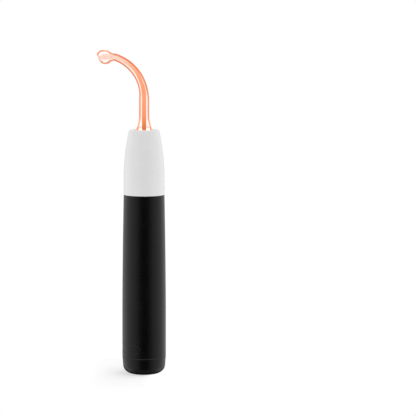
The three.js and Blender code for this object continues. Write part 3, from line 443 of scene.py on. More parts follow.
def placed(ring, depth, place):
    """Ring of (x, y) at a depth, or at a depth worked out from x, set in place."""
    corners = []
    for x, y in ring:
        z = depth(x) if callable(depth) else depth
        corners.append(tuple(place @ Vector((x, y, z))))
    return corners


print("back of the wand, degrees:", round(math.degrees(BACK)))

# %% [markdown]
# ## Finishes
# Each finish is a material with one shader and a few textures that vary its colour, its roughness and
# its fine relief. Sizes of the grain are given in millimetres, so that a moulded shell, a turned cap
# and a winding each get grain of their own real size.

# %% Helpers that mix a finish
SHEEN_PATCH = 9.0
SHEEN_CHANGE = 0.05


def finish(name, colour, roughness, **sockets):
    """A material whose shader has these values. Returns the material and its shader."""
    material = bpy.data.materials.new(name)
    material.use_nodes = True
    shader = material.node_tree.nodes["Principled BSDF"]
    shader.inputs["Base Color"].default_value = (*colour, 1.0)
    shader.inputs["Roughness"].default_value = roughness
    for socket, value in sockets.items():
        shader.inputs[socket.replace("_", " ")].default_value = value
    return material, shader


def grain(material, size, detail=2.0, stretch=(1.0, 1.0, 1.0), kind="TexNoise"):
    """Texture of a grain size in millimetres, over the piece's own coordinates."""
    tree = material.node_tree
    place = set_node(tree, "TexCoord").outputs["Object"]
    scale = set_node(tree, "Mapping", {"Vector": place, "Scale": [1.0 / (size * MM) * s for s in stretch]})
    texture = set_node(tree, kind, {"Vector": scale.outputs[0], "Scale": 1.0})
    if "Detail" in texture.inputs:
        texture.inputs["Detail"].default_value = detail
    return texture


def spread(material, source, low, high):
    """Maps a texture onto values between low and high."""
    return mapped(material.node_tree, source, 0.0, 1.0, low, high)


def tint(material, source, dark, light, low=0.35, high=0.65):
    """Maps a texture onto colours from dark to light."""
    node = set_node(material.node_tree, "ValToRGB", {0: source})
    for stop, place, colour in zip(node.color_ramp.elements, (low, high), (dark, light)):
        stop.position = place
        stop.color = (*colour, 1.0)
    return node.outputs[0]


def relief(material, shader, source, depth):
    """Raises the surface by a texture, to a depth in millimetres."""
    tree = material.node_tree
    bump = set_node(tree, "Bump", {"Height": source, "Distance": depth * MM, "Strength": 1.0})
    tree.links.new(bump.outputs[0], shader.inputs["Normal"])


def moulded(name, dark, light, roughness, grain_size=0.16, depth=0.004, **sockets):
    """Moulded plastic: spark texture of the mould, soft patches of sheen, a slight change of tone."""
    material, shader = finish(name, dark, roughness, **sockets)
    spark = grain(material, grain_size)
    source = grain(material, SHEEN_PATCH, detail=3.0).outputs[0]
    sheen = spread(material, source, roughness - SHEEN_CHANGE, roughness + SHEEN_CHANGE)
    material.node_tree.links.new(tint(material, source, dark, light), shader.inputs["Base Color"])
    material.node_tree.links.new(sheen, shader.inputs["Roughness"])
    relief(material, shader, spark.outputs[0], depth)
    return material


print("patches of sheen, mm:", SHEEN_PATCH)

# %% [markdown]
# ## Black and white plastic
# The handle, dial and button are one black plastic with a fine satin texture, so their sheen is soft
# and follows the light at the sides. The nose is the same plastic in white.

# %% Mix the two plastics
black_plastic = moulded("black_satin", (0.0028, 0.0028, 0.0030), (0.0034, 0.0034, 0.0036), 0.27)
white_plastic = moulded(
    "white_satin", (0.885, 0.885, 0.890), (0.900, 0.900, 0.903), 0.27, Specular_IOR_Level=0.9,
    Sheen_Weight=0.35, Sheen_Roughness=0.3,
)
print("plastics:", black_plastic.name, white_plastic.name)

# %% [markdown]
# ## Carrying a piece
# Every new piece gets its finish, says which imported piece it stands for and which body carries it.
# One helper does all of that.

# %% Helper that finishes and carries a piece
replaced = set()


def fit(piece, material, body, slot, *stands_for):
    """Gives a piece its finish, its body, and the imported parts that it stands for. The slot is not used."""
    piece.data.materials.clear()
    piece.data.materials.append(material)
    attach(piece, body)
    if stands_for:
        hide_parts(*stands_for)
        replaced.update(stands_for)
    print(piece.name, "faces:", len(piece.data.polygons), "on", body)
    return piece


print("parts replaced so far:", len(replaced))

# %% [markdown]
# ## Body of the handle
# The handle is one long tube that narrows a little towards the seam. It has a window for the
# button, a mouth for charging and a small hole for the lamp. The tube is turned, the three openings
# are cut with booleans, and a narrow bevel softens their edges as a mould does.

# %% Turn the barrel
NECK_RADIUS = 13.0
NECK_BORE = 11.2
NECK_TOP = 143.0
BARREL_CEILING = 132.8

barrel_outline = [(HANDLE_RADIUS - SHELL_WALL, BARREL_BOTTOM), (HANDLE_RADIUS, BARREL_BOTTOM, 0.08)]
barrel_outline += [(barrel_radius(z), z) for z in heights(TAPER_LEVEL, SEAM_LEVEL - 1.0, 24)]
barrel_outline += [
    (SEAM_RADIUS, SEAM_LEVEL, 0.1), (NECK_RADIUS, SEAM_LEVEL),
    (NECK_RADIUS, NECK_TOP, 0.35), (NECK_BORE, NECK_TOP), (NECK_BORE, BARREL_CEILING),
]
barrel_outline += [
    (barrel_radius(z) - SHELL_WALL, z) for z in heights(BARREL_CEILING, TAPER_LEVEL, 8)
]
barrel = turned("barrel_shell", rounded(barrel_outline))
print("points on the barrel's outline:", len(barrel_outline))

# %% Cut the openings and soften their edges
BUTTON_AZIMUTH = math.radians(-52)
BUTTON_LEVEL = 20.0
BUTTON_WIDTH = 21.8
BUTTON_HEIGHT = 5.8
BUTTON_GAP = 0.3
PORT_LEVEL = 31.3
PORT_WIDTH = 8.94
PORT_HEIGHT = 3.26
LAMP_LEVEL = 38.8
LAMP_RADIUS = 1.2
OPENING_GAP = 0.3
OPENING_BEVEL = 0.1
OPENING_CREASE = math.radians(25)
OPENING_LEVELS = (14.5, 60.0)
CUT_FROM = 8.2
CUT_PAST = 2.0


def cutter(ring, azimuth, level):
    place = facing(azimuth, level)
    return loft("cutter", [placed(ring, CUT_FROM, place), placed(ring, HANDLE_RADIUS + CUT_PAST, place)])


def cut(piece, tools):
    """Cuts with each tool, and keeps the result as the piece's own mesh."""
    for tool in tools:
        step = piece.modifiers.new("cut", "BOOLEAN")
        step.operation = "DIFFERENCE"
        step.solver = "EXACT"
        step.object = tool
        keep_modifiers(piece)
        bpy.data.objects.remove(tool)


def keep_modifiers(piece):
    graph = bpy.context.evaluated_depsgraph_get()
    mesh = bpy.data.meshes.new_from_object(piece.evaluated_get(graph))
    piece.modifiers.clear()
    old = piece.data
    piece.data = mesh
    bpy.data.meshes.remove(old)


def soften_openings(piece, width):
    """Bevels the edges where an opening's wall meets the outer surface."""
    shape = bmesh.new()
    shape.from_mesh(piece.data)
    chosen = []
    for edge in shape.edges:
        if len(edge.link_faces) != 2 or edge.calc_face_angle(0.0) < OPENING_CREASE:
            continue
        on_surface = all(
            abs(math.hypot(v.co.x, v.co.y) / MM - barrel_radius(v.co.z / MM)) < 0.05 for v in edge.verts
        )
        inside = all(OPENING_LEVELS[0] < v.co.z / MM < OPENING_LEVELS[1] for v in edge.verts)
        if on_surface and inside:
            chosen.append(edge)
    bmesh.ops.bevel(shape, geom=chosen, offset=width * MM, segments=3, profile=0.5, affect="EDGES")
    shape.to_mesh(piece.data)
    shape.free()
    return len(chosen)


window_ring = pill_ring(BUTTON_WIDTH + 2 * BUTTON_GAP, BUTTON_HEIGHT + 2 * BUTTON_GAP)
mouth_ring = pill_ring(PORT_WIDTH + 2 * OPENING_GAP, PORT_HEIGHT + 2 * OPENING_GAP)
lamp_ring = disc_ring(LAMP_RADIUS + OPENING_GAP)
cut(barrel, [
    cutter(window_ring, BUTTON_AZIMUTH, BUTTON_LEVEL),
    cutter(mouth_ring, BACK, PORT_LEVEL),
    cutter(lamp_ring, BACK, LAMP_LEVEL),
])
print("edges softened:", soften_openings(barrel, OPENING_BEVEL))

# %% [markdown]
# ## Keeping the shading smooth
# A cut leaves long faces with many corners, and their soft shading would show streaks. The outer
# surface is known exactly, so each of its corners is simply given the direction it has on the real
# turned form, and only the walls of the openings keep what their faces give them.

# %% Give the outer surface its true directions
OUTWARD = 0.97
NEAR_SURFACE = 0.3
SLOPE_STEP = 0.05


def true_directions(piece, radius_at, low, high):
    """Gives outer corners between two heights the direction of the turned form, and counts them."""
    mesh = soft_shaded(piece.data)
    directions = [Vector((0, 0, 0))] * len(mesh.loops)
    changed = 0
    for face in mesh.polygons:
        middle = face.center / MM
        if not low < middle.z < high:
            continue
        around = Vector((middle.x, middle.y, 0)).normalized()
        if face.normal.dot(around) < OUTWARD:
            continue
        if abs(math.hypot(middle.x, middle.y) - radius_at(middle.z)) > NEAR_SURFACE:
            continue
        for loop in face.loop_indices:
            corner = mesh.vertices[mesh.loops[loop].vertex_index].co / MM
            rise = radius_at(corner.z + SLOPE_STEP) - radius_at(corner.z - SLOPE_STEP)
            slope = rise / (2 * SLOPE_STEP)
            out = Vector((corner.x, corner.y, 0)).normalized()
            directions[loop] = (out + Vector((0, 0, -slope))).normalized()
            changed += 1
    mesh.normals_split_custom_set(directions)
    return changed


set_corners = true_directions(barrel, barrel_radius, BARREL_BOTTOM + 0.5, SEAM_LEVEL - 0.5)
print("corners set on the barrel:", set_corners)
fit(barrel, black_plastic, "handle", "handle_black", "handle_barrel")

# %% [markdown]
# ## Screw bosses
# Two hollow posts stand inside the barrel and take the screws of the chassis. They never show, but
# the barrel that they belong to has been replaced, so they are turned again in the same plastic.

# %% Turn the two bosses
BOSS_PLACE = 11.6
BOSS_TURNS = (30, -150)
BOSS_HOLE = 1.5
BOSS_RADIUS = 3.2
BOSS_BOTTOM = 16.0
BOSS_TOP = 23.7
for number, turn in enumerate(BOSS_TURNS, start=1):
    azimuth = math.radians(turn)
    centre = (math.sin(azimuth) * BOSS_PLACE, -math.cos(azimuth) * BOSS_PLACE)
    outline = rounded([
        (BOSS_HOLE, BOSS_BOTTOM, 0.2), (BOSS_RADIUS, BOSS_BOTTOM, 0.3),
        (BOSS_RADIUS, BOSS_TOP), (BOSS_HOLE, BOSS_TOP),
    ])
    post = turned(f"screw_boss_{number}", outline, sides=32, centre=centre)
    fit(post, black_plastic, "handle", "handle_black")

# %% [markdown]
# ## White nose
# The nose starts straight above the seam and curves in to a narrower top, where the electrode goes
# in. The real one is moulded, with a small rounding at the seam, a softer one at the top and a rim
# round the mouth. All of that is in the outline, so the piece is simply turned.

# %% Turn the nose
MOUTH_RADIUS = 6.4
NOSE_INNER_TOP = 181.8
NOSE_EDGE = 1.3
MOUTH_EDGE = 0.4
nose_outline = [(SEAM_RADIUS - SHELL_WALL, NOSE_BOTTOM), (SEAM_RADIUS, NOSE_BOTTOM, 0.15)]
nose_outline += [(nose_radius(z), z) for z in heights(NOSE_CURVE_LEVEL, NOSE_TOP - 1.5, 40)]
nose_outline += [
    (NOSE_TOP_RADIUS, NOSE_TOP, NOSE_EDGE), (MOUTH_RADIUS, NOSE_TOP, MOUTH_EDGE),
    (MOUTH_RADIUS, NOSE_INNER_TOP),
]
nose_outline += [(nose_radius(z) - SHELL_WALL, z) for z in heights(NOSE_INNER_TOP, NOSE_CURVE_LEVEL, 16)]
nose = turned("nose_shell", rounded(nose_outline))
fit(nose, white_plastic, "handle", "nose_white", "nose_cone")

# %% [markdown]
# ## Dial at the foot
# The foot below the lower parting line turns, and sets how strong the wand works. It is a cup whose
# edge curves in to a flat bottom, with a hub inside that has a flat in its bore for the shaft. The cup
# is turned, and the hub is a short ring whose inner outline has the flat.

# %% Turn the dial and build its hub
DIAL_HEIGHT = 12.75
DIAL_TOP_RADIUS = 16.38
DIAL_SIDE_RADIUS = 15.9
FOOT_FLAT = 8.5
FOOT_CURVE = 6.6
DIAL_WALL = 2.2
DIAL_FLOOR = 2.4


def foot_curve(radius, flat, floor_level, steps):
    """Quarter of an oval, from the flat bottom up to the side."""
    points = []
    for angle in heights(-math.pi / 2, 0.0, steps):
        across = flat + (radius - flat) * math.cos(angle)
        points.append((across, FOOT_CURVE + (FOOT_CURVE - floor_level) * math.sin(angle)))
    return points


dial_outline = [(0.0, 0.0)] + foot_curve(DIAL_SIDE_RADIUS, FOOT_FLAT, 0.0, 32)
dial_outline += [(DIAL_TOP_RADIUS, DIAL_HEIGHT, 0.15), (DIAL_TOP_RADIUS - DIAL_WALL, DIAL_HEIGHT, 0.2)]
dial_outline += foot_curve(DIAL_SIDE_RADIUS - DIAL_WALL, FOOT_FLAT - DIAL_WALL / 2, DIAL_FLOOR, 12)[::-1]
dial_outline += [(0.0, DIAL_FLOOR)]
dial = turned("dial_cup", rounded(dial_outline))
fit(dial, black_plastic, "dial", "handle_black", "intensity_dial")

HUB_RADIUS = 5.2
HUB_TOP = 10.8
HUB_BORE = 3.3
HUB_FLAT = 1.8
HUB_SIDES = 64


def hub_bore_radius(angle):
    across = math.cos(angle)
    return min(HUB_BORE, HUB_FLAT / across) if across > 0.01 else HUB_BORE


def hub_ring(radius_at, level):
    ring = []
    for i in range(HUB_SIDES):
        angle = 2 * math.pi * i / HUB_SIDES
        ring.append((radius_at(angle) * math.cos(angle), radius_at(angle) * math.sin(angle), level))
    return ring


hub = loft("dial_hub", [
    hub_ring(lambda a: HUB_RADIUS, DIAL_FLOOR), hub_ring(lambda a: HUB_RADIUS, HUB_TOP),
    hub_ring(hub_bore_radius, HUB_TOP), hub_ring(hub_bore_radius, DIAL_FLOOR),
], closed=True)
fit(hub, black_plastic, "dial", "handle_black")

# %% [markdown]
# ## Button
# The button is a long pill that follows the round of the handle, with a narrow gap and a small rounding
# at its edge, and a wider flange behind the wall that keeps it in. A flat pill could be bent onto the
# handle. Laying rings of the pill's shape straight on the curve keeps the face smooth and its edge even.

# %% Lay the button on the handle's curve
BUTTON_EDGE = 0.12
BUTTON_SINK = 0.03
LIP = 0.55
LIP_RADIUS = 14.1
BUTTON_BACK = 12.9
button_place = facing(BUTTON_AZIMUTH, BUTTON_LEVEL)


def on_curve(radius):
    return lambda x: math.sqrt(radius ** 2 - x ** 2)


def button_layer(inset, radius):
    ring = pill_ring(BUTTON_WIDTH - 2 * inset, BUTTON_HEIGHT - 2 * inset)
    return placed(ring, on_curve(radius), button_place)


face_radius = HANDLE_RADIUS - BUTTON_SINK
FACE_INSETS = (0.6, 1.0, 1.5, 2.0, 2.4, 2.7, 2.85)
button_rings = [button_layer(inset, BUTTON_BACK) for inset in (2.8, 1.4, -LIP)]
button_rings += [button_layer(inset, LIP_RADIUS) for inset in (-LIP, 0.0)]
for angle in heights(0.0, math.pi / 2, 5):
    inset = BUTTON_EDGE * (1 - math.cos(angle))
    button_rings.append(button_layer(inset, face_radius - BUTTON_EDGE * (1 - math.sin(angle))))
button_rings += [button_layer(inset, face_radius) for inset in FACE_INSETS]
button = loft("button_pill", button_rings)
fit(button, black_plastic, "button", "handle_black", "power_button")

# %% [markdown]
# ## Grey strips in the two joints
# The joint round the button and the one above the dial show as fine lines a little lighter than the
# plastic, where the rounded edges of the joints catch the light. Thin dark grey rubber strips fill them,
# a painted highlight in place of that light. They stay with the handle: one is a pill-shaped ring that
# follows the curve, and the other is turned.

# %% Mix the grey of the painted highlight and fill the joints
# Painted highlight: the grey of these strips stands in for the light that the joints' rounded edges catch.
painted_highlight_rubber = moulded(
    "joint_grey_painted_highlight", (0.026, 0.026, 0.027), (0.032, 0.032, 0.033), 0.55, grain_size=0.1, depth=0.003,
)
HIGHLIGHT_STRIP_SINK = 0.05
HIGHLIGHT_STRIP_DEPTH = 0.7
DIAL_HIGHLIGHT_STRIP_DEPTH = 0.8
HIGHLIGHT_STRIP_CLEAR = 0.02


def highlight_strip_layer(gap, sink):
    ring = pill_ring(BUTTON_WIDTH + 2 * gap, BUTTON_HEIGHT + 2 * gap)
    return placed(ring, on_curve(HANDLE_RADIUS - sink), button_place)


button_highlight_strip = loft("button_highlight_strip", [
    highlight_strip_layer(HIGHLIGHT_STRIP_CLEAR, HIGHLIGHT_STRIP_DEPTH), highlight_strip_layer(HIGHLIGHT_STRIP_CLEAR, HIGHLIGHT_STRIP_SINK + 0.04), highlight_strip_layer(0.06, HIGHLIGHT_STRIP_SINK),
    highlight_strip_layer(BUTTON_GAP - 0.05, HIGHLIGHT_STRIP_SINK), highlight_strip_layer(BUTTON_GAP - 0.01, HIGHLIGHT_STRIP_SINK + 0.04),
    highlight_strip_layer(BUTTON_GAP - 0.01, HIGHLIGHT_STRIP_DEPTH),
], closed=True)
fit(button_highlight_strip, painted_highlight_rubber, "handle", "handle_black")

dial_highlight_strip = turned("dial_highlight_strip", rounded([
    (HANDLE_RADIUS - DIAL_HIGHLIGHT_STRIP_DEPTH, DIAL_HEIGHT + HIGHLIGHT_STRIP_CLEAR),
    (HANDLE_RADIUS - HIGHLIGHT_STRIP_SINK, DIAL_HEIGHT + HIGHLIGHT_STRIP_CLEAR, 0.05),
    (HANDLE_RADIUS - HIGHLIGHT_STRIP_SINK, BARREL_BOTTOM, 0.05), (HANDLE_RADIUS - DIAL_HIGHLIGHT_STRIP_DEPTH, BARREL_BOTTOM),
]))
fit(dial_highlight_strip, painted_highlight_rubber, "handle", "handle_black")

# %% [markdown]
# ## Charging mouth and lamp at the back
# A thin drawn steel mouth with a tongue stands behind its opening, and above it a clear light guide
# ends just inside the surface. The mouth is a skin over pill rings that run out along the outside,
# over the lip and back in along the inside. The tongue carries a row of plated contacts.

# %% Metals, contact plating and clear plastic
steel, steel_shader = finish("drawn_steel", (0.62, 0.63, 0.65), 0.28, Metallic=1.0)
steel_grain = grain(steel, 0.25, stretch=(1.0, 0.08, 1.0))
steel_gloss = spread(steel, steel_grain.outputs[0], 0.2, 0.36)
steel.node_tree.links.new(steel_gloss, steel_shader.inputs["Roughness"])
relief(steel, steel_shader, steel_grain.outputs[0], 0.002)

plating, plating_shader = finish("gold_plating", (0.83, 0.62, 0.30), 0.25, Metallic=1.0)
plating_grain = grain(plating, 0.3)
plating_gloss = spread(plating, plating_grain.outputs[0], 0.2, 0.34)
plating.node_tree.links.new(plating_gloss, plating_shader.inputs["Roughness"])

clear_plastic, clear_shader = finish(
    "clear_guide", (0.86, 0.92, 0.93), 0.18, Transmission_Weight=0.85, IOR=1.49,
)
clear_grain = grain(clear_plastic, 0.4)
relief(clear_plastic, clear_shader, clear_grain.outputs[0], 0.01)
print("metals:", steel.name, plating.name, "and clear:", clear_plastic.name)

# %% Build the mouth, its tongue and the lamp's lens
PORT_BACK = 8.6
PORT_MOUTH = 15.2
PORT_WALL = 0.35
PORT_FLOOR = 9.5
CONTACTS = 6
port_place = facing(BACK, PORT_LEVEL)


def port_layer(inset, depth):
    return placed(pill_ring(PORT_WIDTH - 2 * inset, PORT_HEIGHT - 2 * inset, 12, 12), depth, port_place)


port = loft("port_shell", [port_layer(inset, depth) for inset, depth in (
    (0.25, PORT_BACK), (0.0, PORT_BACK + 0.25), (0.0, PORT_MOUTH - 0.12), (0.05, PORT_MOUTH - 0.03),
    (0.12, PORT_MOUTH), (0.24, PORT_MOUTH), (0.31, PORT_MOUTH - 0.04), (PORT_WALL, PORT_MOUTH - 0.14),
    (PORT_WALL, PORT_FLOOR),
)])
fit(port, steel, "handle", "nickel_steel", "charge_port")


def soft_block(name, low, high, bevel):
    """A small block with its edges rounded, from its lowest and highest corners."""
    shape = bmesh.new()
    bmesh.ops.create_cube(shape, size=1.0)
    size = [b - a for a, b in zip(low, high)]
    for corner in shape.verts:
        corner.co = Vector([low[i] + (corner.co[i] + 0.5) * size[i] for i in range(3)]) * MM
    bmesh.ops.bevel(shape, geom=shape.edges[:], offset=bevel * MM, segments=2, profile=0.5, affect="EDGES")
    mesh = bpy.data.meshes.new(name)
    shape.to_mesh(mesh)
    shape.free()
    return in_scene(name, soft_shaded(mesh))


tongue = soft_block("port_tongue", (-3.1, 9.2, PORT_LEVEL - 0.35), (3.1, 14.4, PORT_LEVEL + 0.35), 0.1)
fit(tongue, black_plastic, "handle", "chip_black")
for i in range(CONTACTS):
    x = i - (CONTACTS - 1) / 2
    low, high = (x - 0.25, 10.0, PORT_LEVEL + 0.33), (x + 0.25, 14.1, PORT_LEVEL + 0.4)
    strip = soft_block(f"port_contact_{i + 1}", low, high, 0.02)
    fit(strip, plating, "handle", "contact_brass")

lens_place = facing(BACK, LAMP_LEVEL)
lens_rings = [placed(disc_ring(r), z, lens_place) for r, z in (
    (LAMP_RADIUS, 9.8), (LAMP_RADIUS, 15.9), (1.12, 16.08), (0.95, 16.16), (0.6, 16.2), (0.2, 16.21),
)]
lens = loft("lamp_lens", lens_rings)
fit(lens, clear_plastic, "handle", "lens_clear", "led_lens")

# %% [markdown]
# ## Blown glass
# The electrode is one piece of glass: a plug, a flared foot, a stem, a bend that narrows, and a blown
# head with the little tip where the glass was drawn off. Rings set along the centre line make its skin.
# The real one has a bore for its gas. Here the glass is one clear body with the glowing gas inside it,
# because an inner wall only adds dark reflections at this size. Light still bends at the outer skin.

# %% Centre line of the glass
PLUG_RADIUS = 5.1
FOOT_RADIUS = 5.8
STEM_RADIUS = 3.8
NECK_GLASS = 2.65
GLASS_BOTTOM = 157.1
CAP_TOP = 168.5
CAP_GAP = 0.3
SHOULDER_LEVEL = 170.2
FLARE_TOP = 193.8
FLARE_LENGTH = 9.4
FLARE_POWER = 1.5
NARROWING = 0.5
BEND_LEVEL = 208.1
BEND_RADIUS = 31.4
BEND_TURN = math.radians(72)
HEAD_RADIUS = 5.27
HEAD_REACH = 7.1
NECK_EASE = 1.5
GLASS_SIDES = 96


def ease(share):
    share = min(1.0, max(0.0, share))
    return share * share * (3 - 2 * share)


BEND_LENGTH = BEND_RADIUS * BEND_TURN
HEAD_PLACE = BEND_LENGTH + HEAD_REACH


def centre_line(distance):
    """Place and crosswise direction at a distance above the start of the bend, in millimetres."""
    angle = min(max(distance / BEND_RADIUS, 0.0), BEND_TURN)
    place = Vector((BEND_RADIUS * (math.cos(angle) - 1), 0, BEND_LEVEL + BEND_RADIUS * math.sin(angle)))
    if distance < 0:
        place = Vector((0, 0, BEND_LEVEL + distance))
    if distance > BEND_LENGTH:
        place.x -= distance - BEND_LENGTH
    turned_in = ease((distance - BEND_LENGTH + NECK_EASE) / (2 * NECK_EASE))
    angle += (math.pi / 2 - BEND_TURN) * turned_in
    return place, Vector((math.cos(angle), 0, math.sin(angle)))


def glass_ring(distance, radius):
    place, across = centre_line(distance)
    if radius < ON_AXIS:
        return [tuple(place)]
    return [tuple(place + across * x + Vector((0, y, 0))) for x, y in disc_ring(radius, GLASS_SIDES)]


glass_length = BEND_LEVEL - GLASS_BOTTOM + HEAD_PLACE + HEAD_RADIUS
print("length of glass above the plug's foot, mm:", round(glass_length, 1))

# %% Radius of the glass along the line
def outer_radius(distance):
    level = BEND_LEVEL + distance
    if level < CAP_TOP + CAP_GAP:
        return PLUG_RADIUS
    if level < SHOULDER_LEVEL:
        risen = (level - CAP_TOP - CAP_GAP) / (SHOULDER_LEVEL - CAP_TOP - CAP_GAP)
        return PLUG_RADIUS + (FOOT_RADIUS - PLUG_RADIUS) * ease(risen)
    if level < FLARE_TOP:
        share = min(1.0, (FLARE_TOP - level) / FLARE_LENGTH)
        return STEM_RADIUS + (FOOT_RADIUS - STEM_RADIUS) * share ** FLARE_POWER
    share = min(1.0, max(0.0, distance / BEND_LENGTH))
    tube = STEM_RADIUS + (NECK_GLASS - STEM_RADIUS) * share ** NARROWING
    ball = math.sqrt(max(0.0, HEAD_RADIUS ** 2 - (distance - HEAD_PLACE) ** 2))
    return max(tube, ball)


def smooth_radius(radius_at, distance, width):
    """Average over a short stretch, which rounds the creases as melted glass does."""
    samples = [radius_at(distance + width * (i - 4) / 4) for i in range(9)]
    return sum(samples) / len(samples)


GLASS_START = GLASS_BOTTOM - BEND_LEVEL
BALL_FROM = math.pi / 3
BALL_START = HEAD_PLACE - HEAD_RADIUS * math.cos(BALL_FROM)
PLUG_EDGE = 0.4
CREASE_WIDTH = 0.45
NECK_WIDTH = 1.5
NECK_BLEND = 6.0
BALL_BLEND = 2.0
NECK_FROM = BEND_LENGTH - 4


def skin_radius(distance):
    """Widest smoothing at the neck, and none on the ball."""
    near_neck = ease((distance - BEND_LENGTH + NECK_BLEND) / NECK_BLEND)
    off_ball = ease((BALL_START - distance) / BALL_BLEND)
    return smooth_radius(outer_radius, distance, (CREASE_WIDTH + NECK_WIDTH * near_neck) * off_ball)


outer_stops = heights(GLASS_START + PLUG_EDGE, 0.0, 110) + heights(0.0, NECK_FROM, 60)[1:]
outer_stops += heights(NECK_FROM, BALL_START, 30)[1:]
outer_rings = [glass_ring(GLASS_START, PLUG_RADIUS - PLUG_EDGE)]
outer_rings += [glass_ring(d, skin_radius(d)) for d in outer_stops]
for angle in heights(BALL_FROM, math.pi, 60)[1:]:
    outer_rings.append(glass_ring(HEAD_PLACE - HEAD_RADIUS * math.cos(angle), HEAD_RADIUS * math.sin(angle)))
glass = loft("blown_glass", outer_rings)
print("rings of glass:", len(outer_rings))

# %% Draw the tip out of the ball
HEAD_CENTRE = centre_line(HEAD_PLACE)[0]
TIP_STOPS = [
    (96, 0.0), (104, 0.10), (112, 0.40), (120, 0.75), (130, 0.95), (140, 1.15), (150, 1.35),
    (158, 1.48), (164, 1.35), (169, 0.85), (174, 0.25), (180, 0.0),
]
TIP_SPREAD = 62


def between(table, place):
    """Values of a table of (place, value, ...) at a place between its rows."""
    for row, following in zip(table, table[1:]):
        if place <= following[0]:
            share = min(1.0, max(0.0, (place - row[0]) / (following[0] - row[0])))
            return [a + (b - a) * share for a, b in zip(row[1:], following[1:])]
    return list(table[-1][1:])


def ball_turn(point):
    """Angle of a point round the ball, seen from the front, in degrees from the neck's side."""
    return math.degrees(math.atan2(point.z - HEAD_CENTRE.z, point.x - HEAD_CENTRE.x))


drawn = 0
for corner in glass.data.vertices:
    point = corner.co / MM
    outward = point - HEAD_CENTRE
    if outward.length > HEAD_RADIUS + 0.1 or point.x > HEAD_CENTRE.x:
        continue
    off_middle = math.degrees(math.asin(min(1.0, abs(outward.y) / outward.length)))
    reach = between(TIP_STOPS, ball_turn(point))[0] * ease(1 - off_middle / TIP_SPREAD)
    if reach > 0:
        corner.co = (point + outward.normalized() * reach) * MM
        drawn += 1
print("corners drawn out into the tip:", drawn)

# %% [markdown]
# ## Warm colour of the lit glass
# The glow inside shows as an orange line along each edge of the glass, where the eye looks along the
# wall, and the glass between the lines is clear. The line is a painted glow: an orange tint of the glass
# where its surface turns away from the eye, not light that comes from the gas. The line keeps its width
# where the glass narrows, so each corner carries the facing weight at which its line starts, worked out
# from the radius there, and the line's colour. It is broader on the outside of the bend, deepest at the
# foot where the pale plug shines through it, and pink at the ball's far end, all of it painted.

# %% Write the painted glow lines on the glass
LINE_PALE = Vector((0.98, 0.22, 0.085))
LINE_DEEP = Vector((0.84, 0.100, 0.010))
LINE_PINK = Vector((0.98, 0.45, 0.32))
LINE_STEM = Vector((0.95, 0.100, 0.020))
LINE_BEND = Vector((0.78, 0.105, 0.004))
LINE_FOOT = Vector((0.62, 0.055, 0.010))
FOOT_LINE_TOP = 186.2
FOOT_LINE_LENGTH = 1.6
BEND_BLEND = 8.0
# Width of the line in millimetres, and what is added to it at each place.
LINE_WIDTH = 1.5
WIDER_TO_RIGHT = -0.2
WIDER_ON_FLARE = -0.4
WIDER_ON_FOOT = 0.6
WIDER_IN_BEND = -0.1
WIDER_OUTSIDE_BEND = 0.45
BALL_LINES = [
    (-180, LINE_PINK, 1.9), (-150, LINE_PINK, 1.8), (-125, LINE_DEEP, 1.5), (-100, LINE_PALE, 1.2),
    (-60, LINE_DEEP, 1.6), (-20, LINE_DEEP, 1.4), (20, LINE_DEEP, 1.3), (50, LINE_DEEP, 1.4),
    (75, LINE_PALE, 1.5), (100, LINE_PALE, 1.3), (115, LINE_DEEP, 1.5), (160, LINE_DEEP, 1.5),
    (172, LINE_PINK, 1.6), (180, LINE_PINK, 1.9),
]


def line_distance(point):
    """Distance along the centre line of a point near it, in millimetres from the start of the bend."""
    if point.z < BEND_LEVEL:
        return point.z - BEND_LEVEL
    angle = math.atan2(point.z - BEND_LEVEL, point.x + BEND_RADIUS)
    if angle > BEND_TURN:
        return BEND_LENGTH + max(0.0, BEND_RADIUS * (math.cos(BEND_TURN) - 1) - point.x)
    return BEND_RADIUS * angle


painted_glow_line = glass.data.color_attributes.new("painted_glow_line", "FLOAT_COLOR", "POINT")
for corner in glass.data.vertices:
    point = corner.co / MM
    distance = line_distance(point)
    centre, across = centre_line(distance)
    side = (point - centre).dot(across) / max(0.1, (point - centre).length)
    in_bend = ease(distance / BEND_BLEND)
    on_flare = ease((FLARE_TOP - BEND_LEVEL - distance) / FLARE_LENGTH)
    colour = LINE_PALE.lerp(LINE_STEM, 0.5 + 0.5 * side).lerp(LINE_BEND, in_bend * (0.85 + 0.15 * side))
    on_foot = ease((FOOT_LINE_TOP - BEND_LEVEL - distance) / FOOT_LINE_LENGTH)
    colour = colour.lerp(LINE_FOOT, on_foot)
    width = LINE_WIDTH + WIDER_TO_RIGHT * side + WIDER_ON_FLARE * on_flare + WIDER_ON_FOOT * on_foot
    width += in_bend * (WIDER_OUTSIDE_BEND * side + WIDER_IN_BEND)
    radius = outer_radius(distance)
    on_ball = ease((distance - BEND_LENGTH) / (HEAD_REACH - HEAD_RADIUS + 1.5))
    if on_ball > 0:
        ball_colour, ball_width = between(BALL_LINES, ball_turn(point))
        colour = colour.lerp(ball_colour, on_ball)
        width += (ball_width - width) * on_ball
        radius += (HEAD_RADIUS - radius) * on_ball
    clear = 1.0 - min(1.0, width / radius)
    starts = 1.0 - math.sqrt(1.0 - clear * clear)
    painted_glow_line.data[corner.index].color = (*colour, starts)
print("corners with an edge line:", len(painted_glow_line.data))

# %% Mix the glass
CLEAR_TINT = (1.0, 0.975, 0.95)
LINE_SOFTNESS = 0.045
RIPPLE_SIZE = 14.0
RIPPLE_DEPTH = 0.25
CAUGHT_AFTER = 3.5
CAUGHT_COLOUR = (1.0, 0.60, 0.44, 1.0)
lit_glass, glass_shader = finish("lit_glass", CLEAR_TINT, 0.0, Transmission_Weight=1.0, IOR=1.45)
glass_tree = lit_glass.node_tree
glass_line = set_node(glass_tree, "Attribute", attribute_name="painted_glow_line").outputs
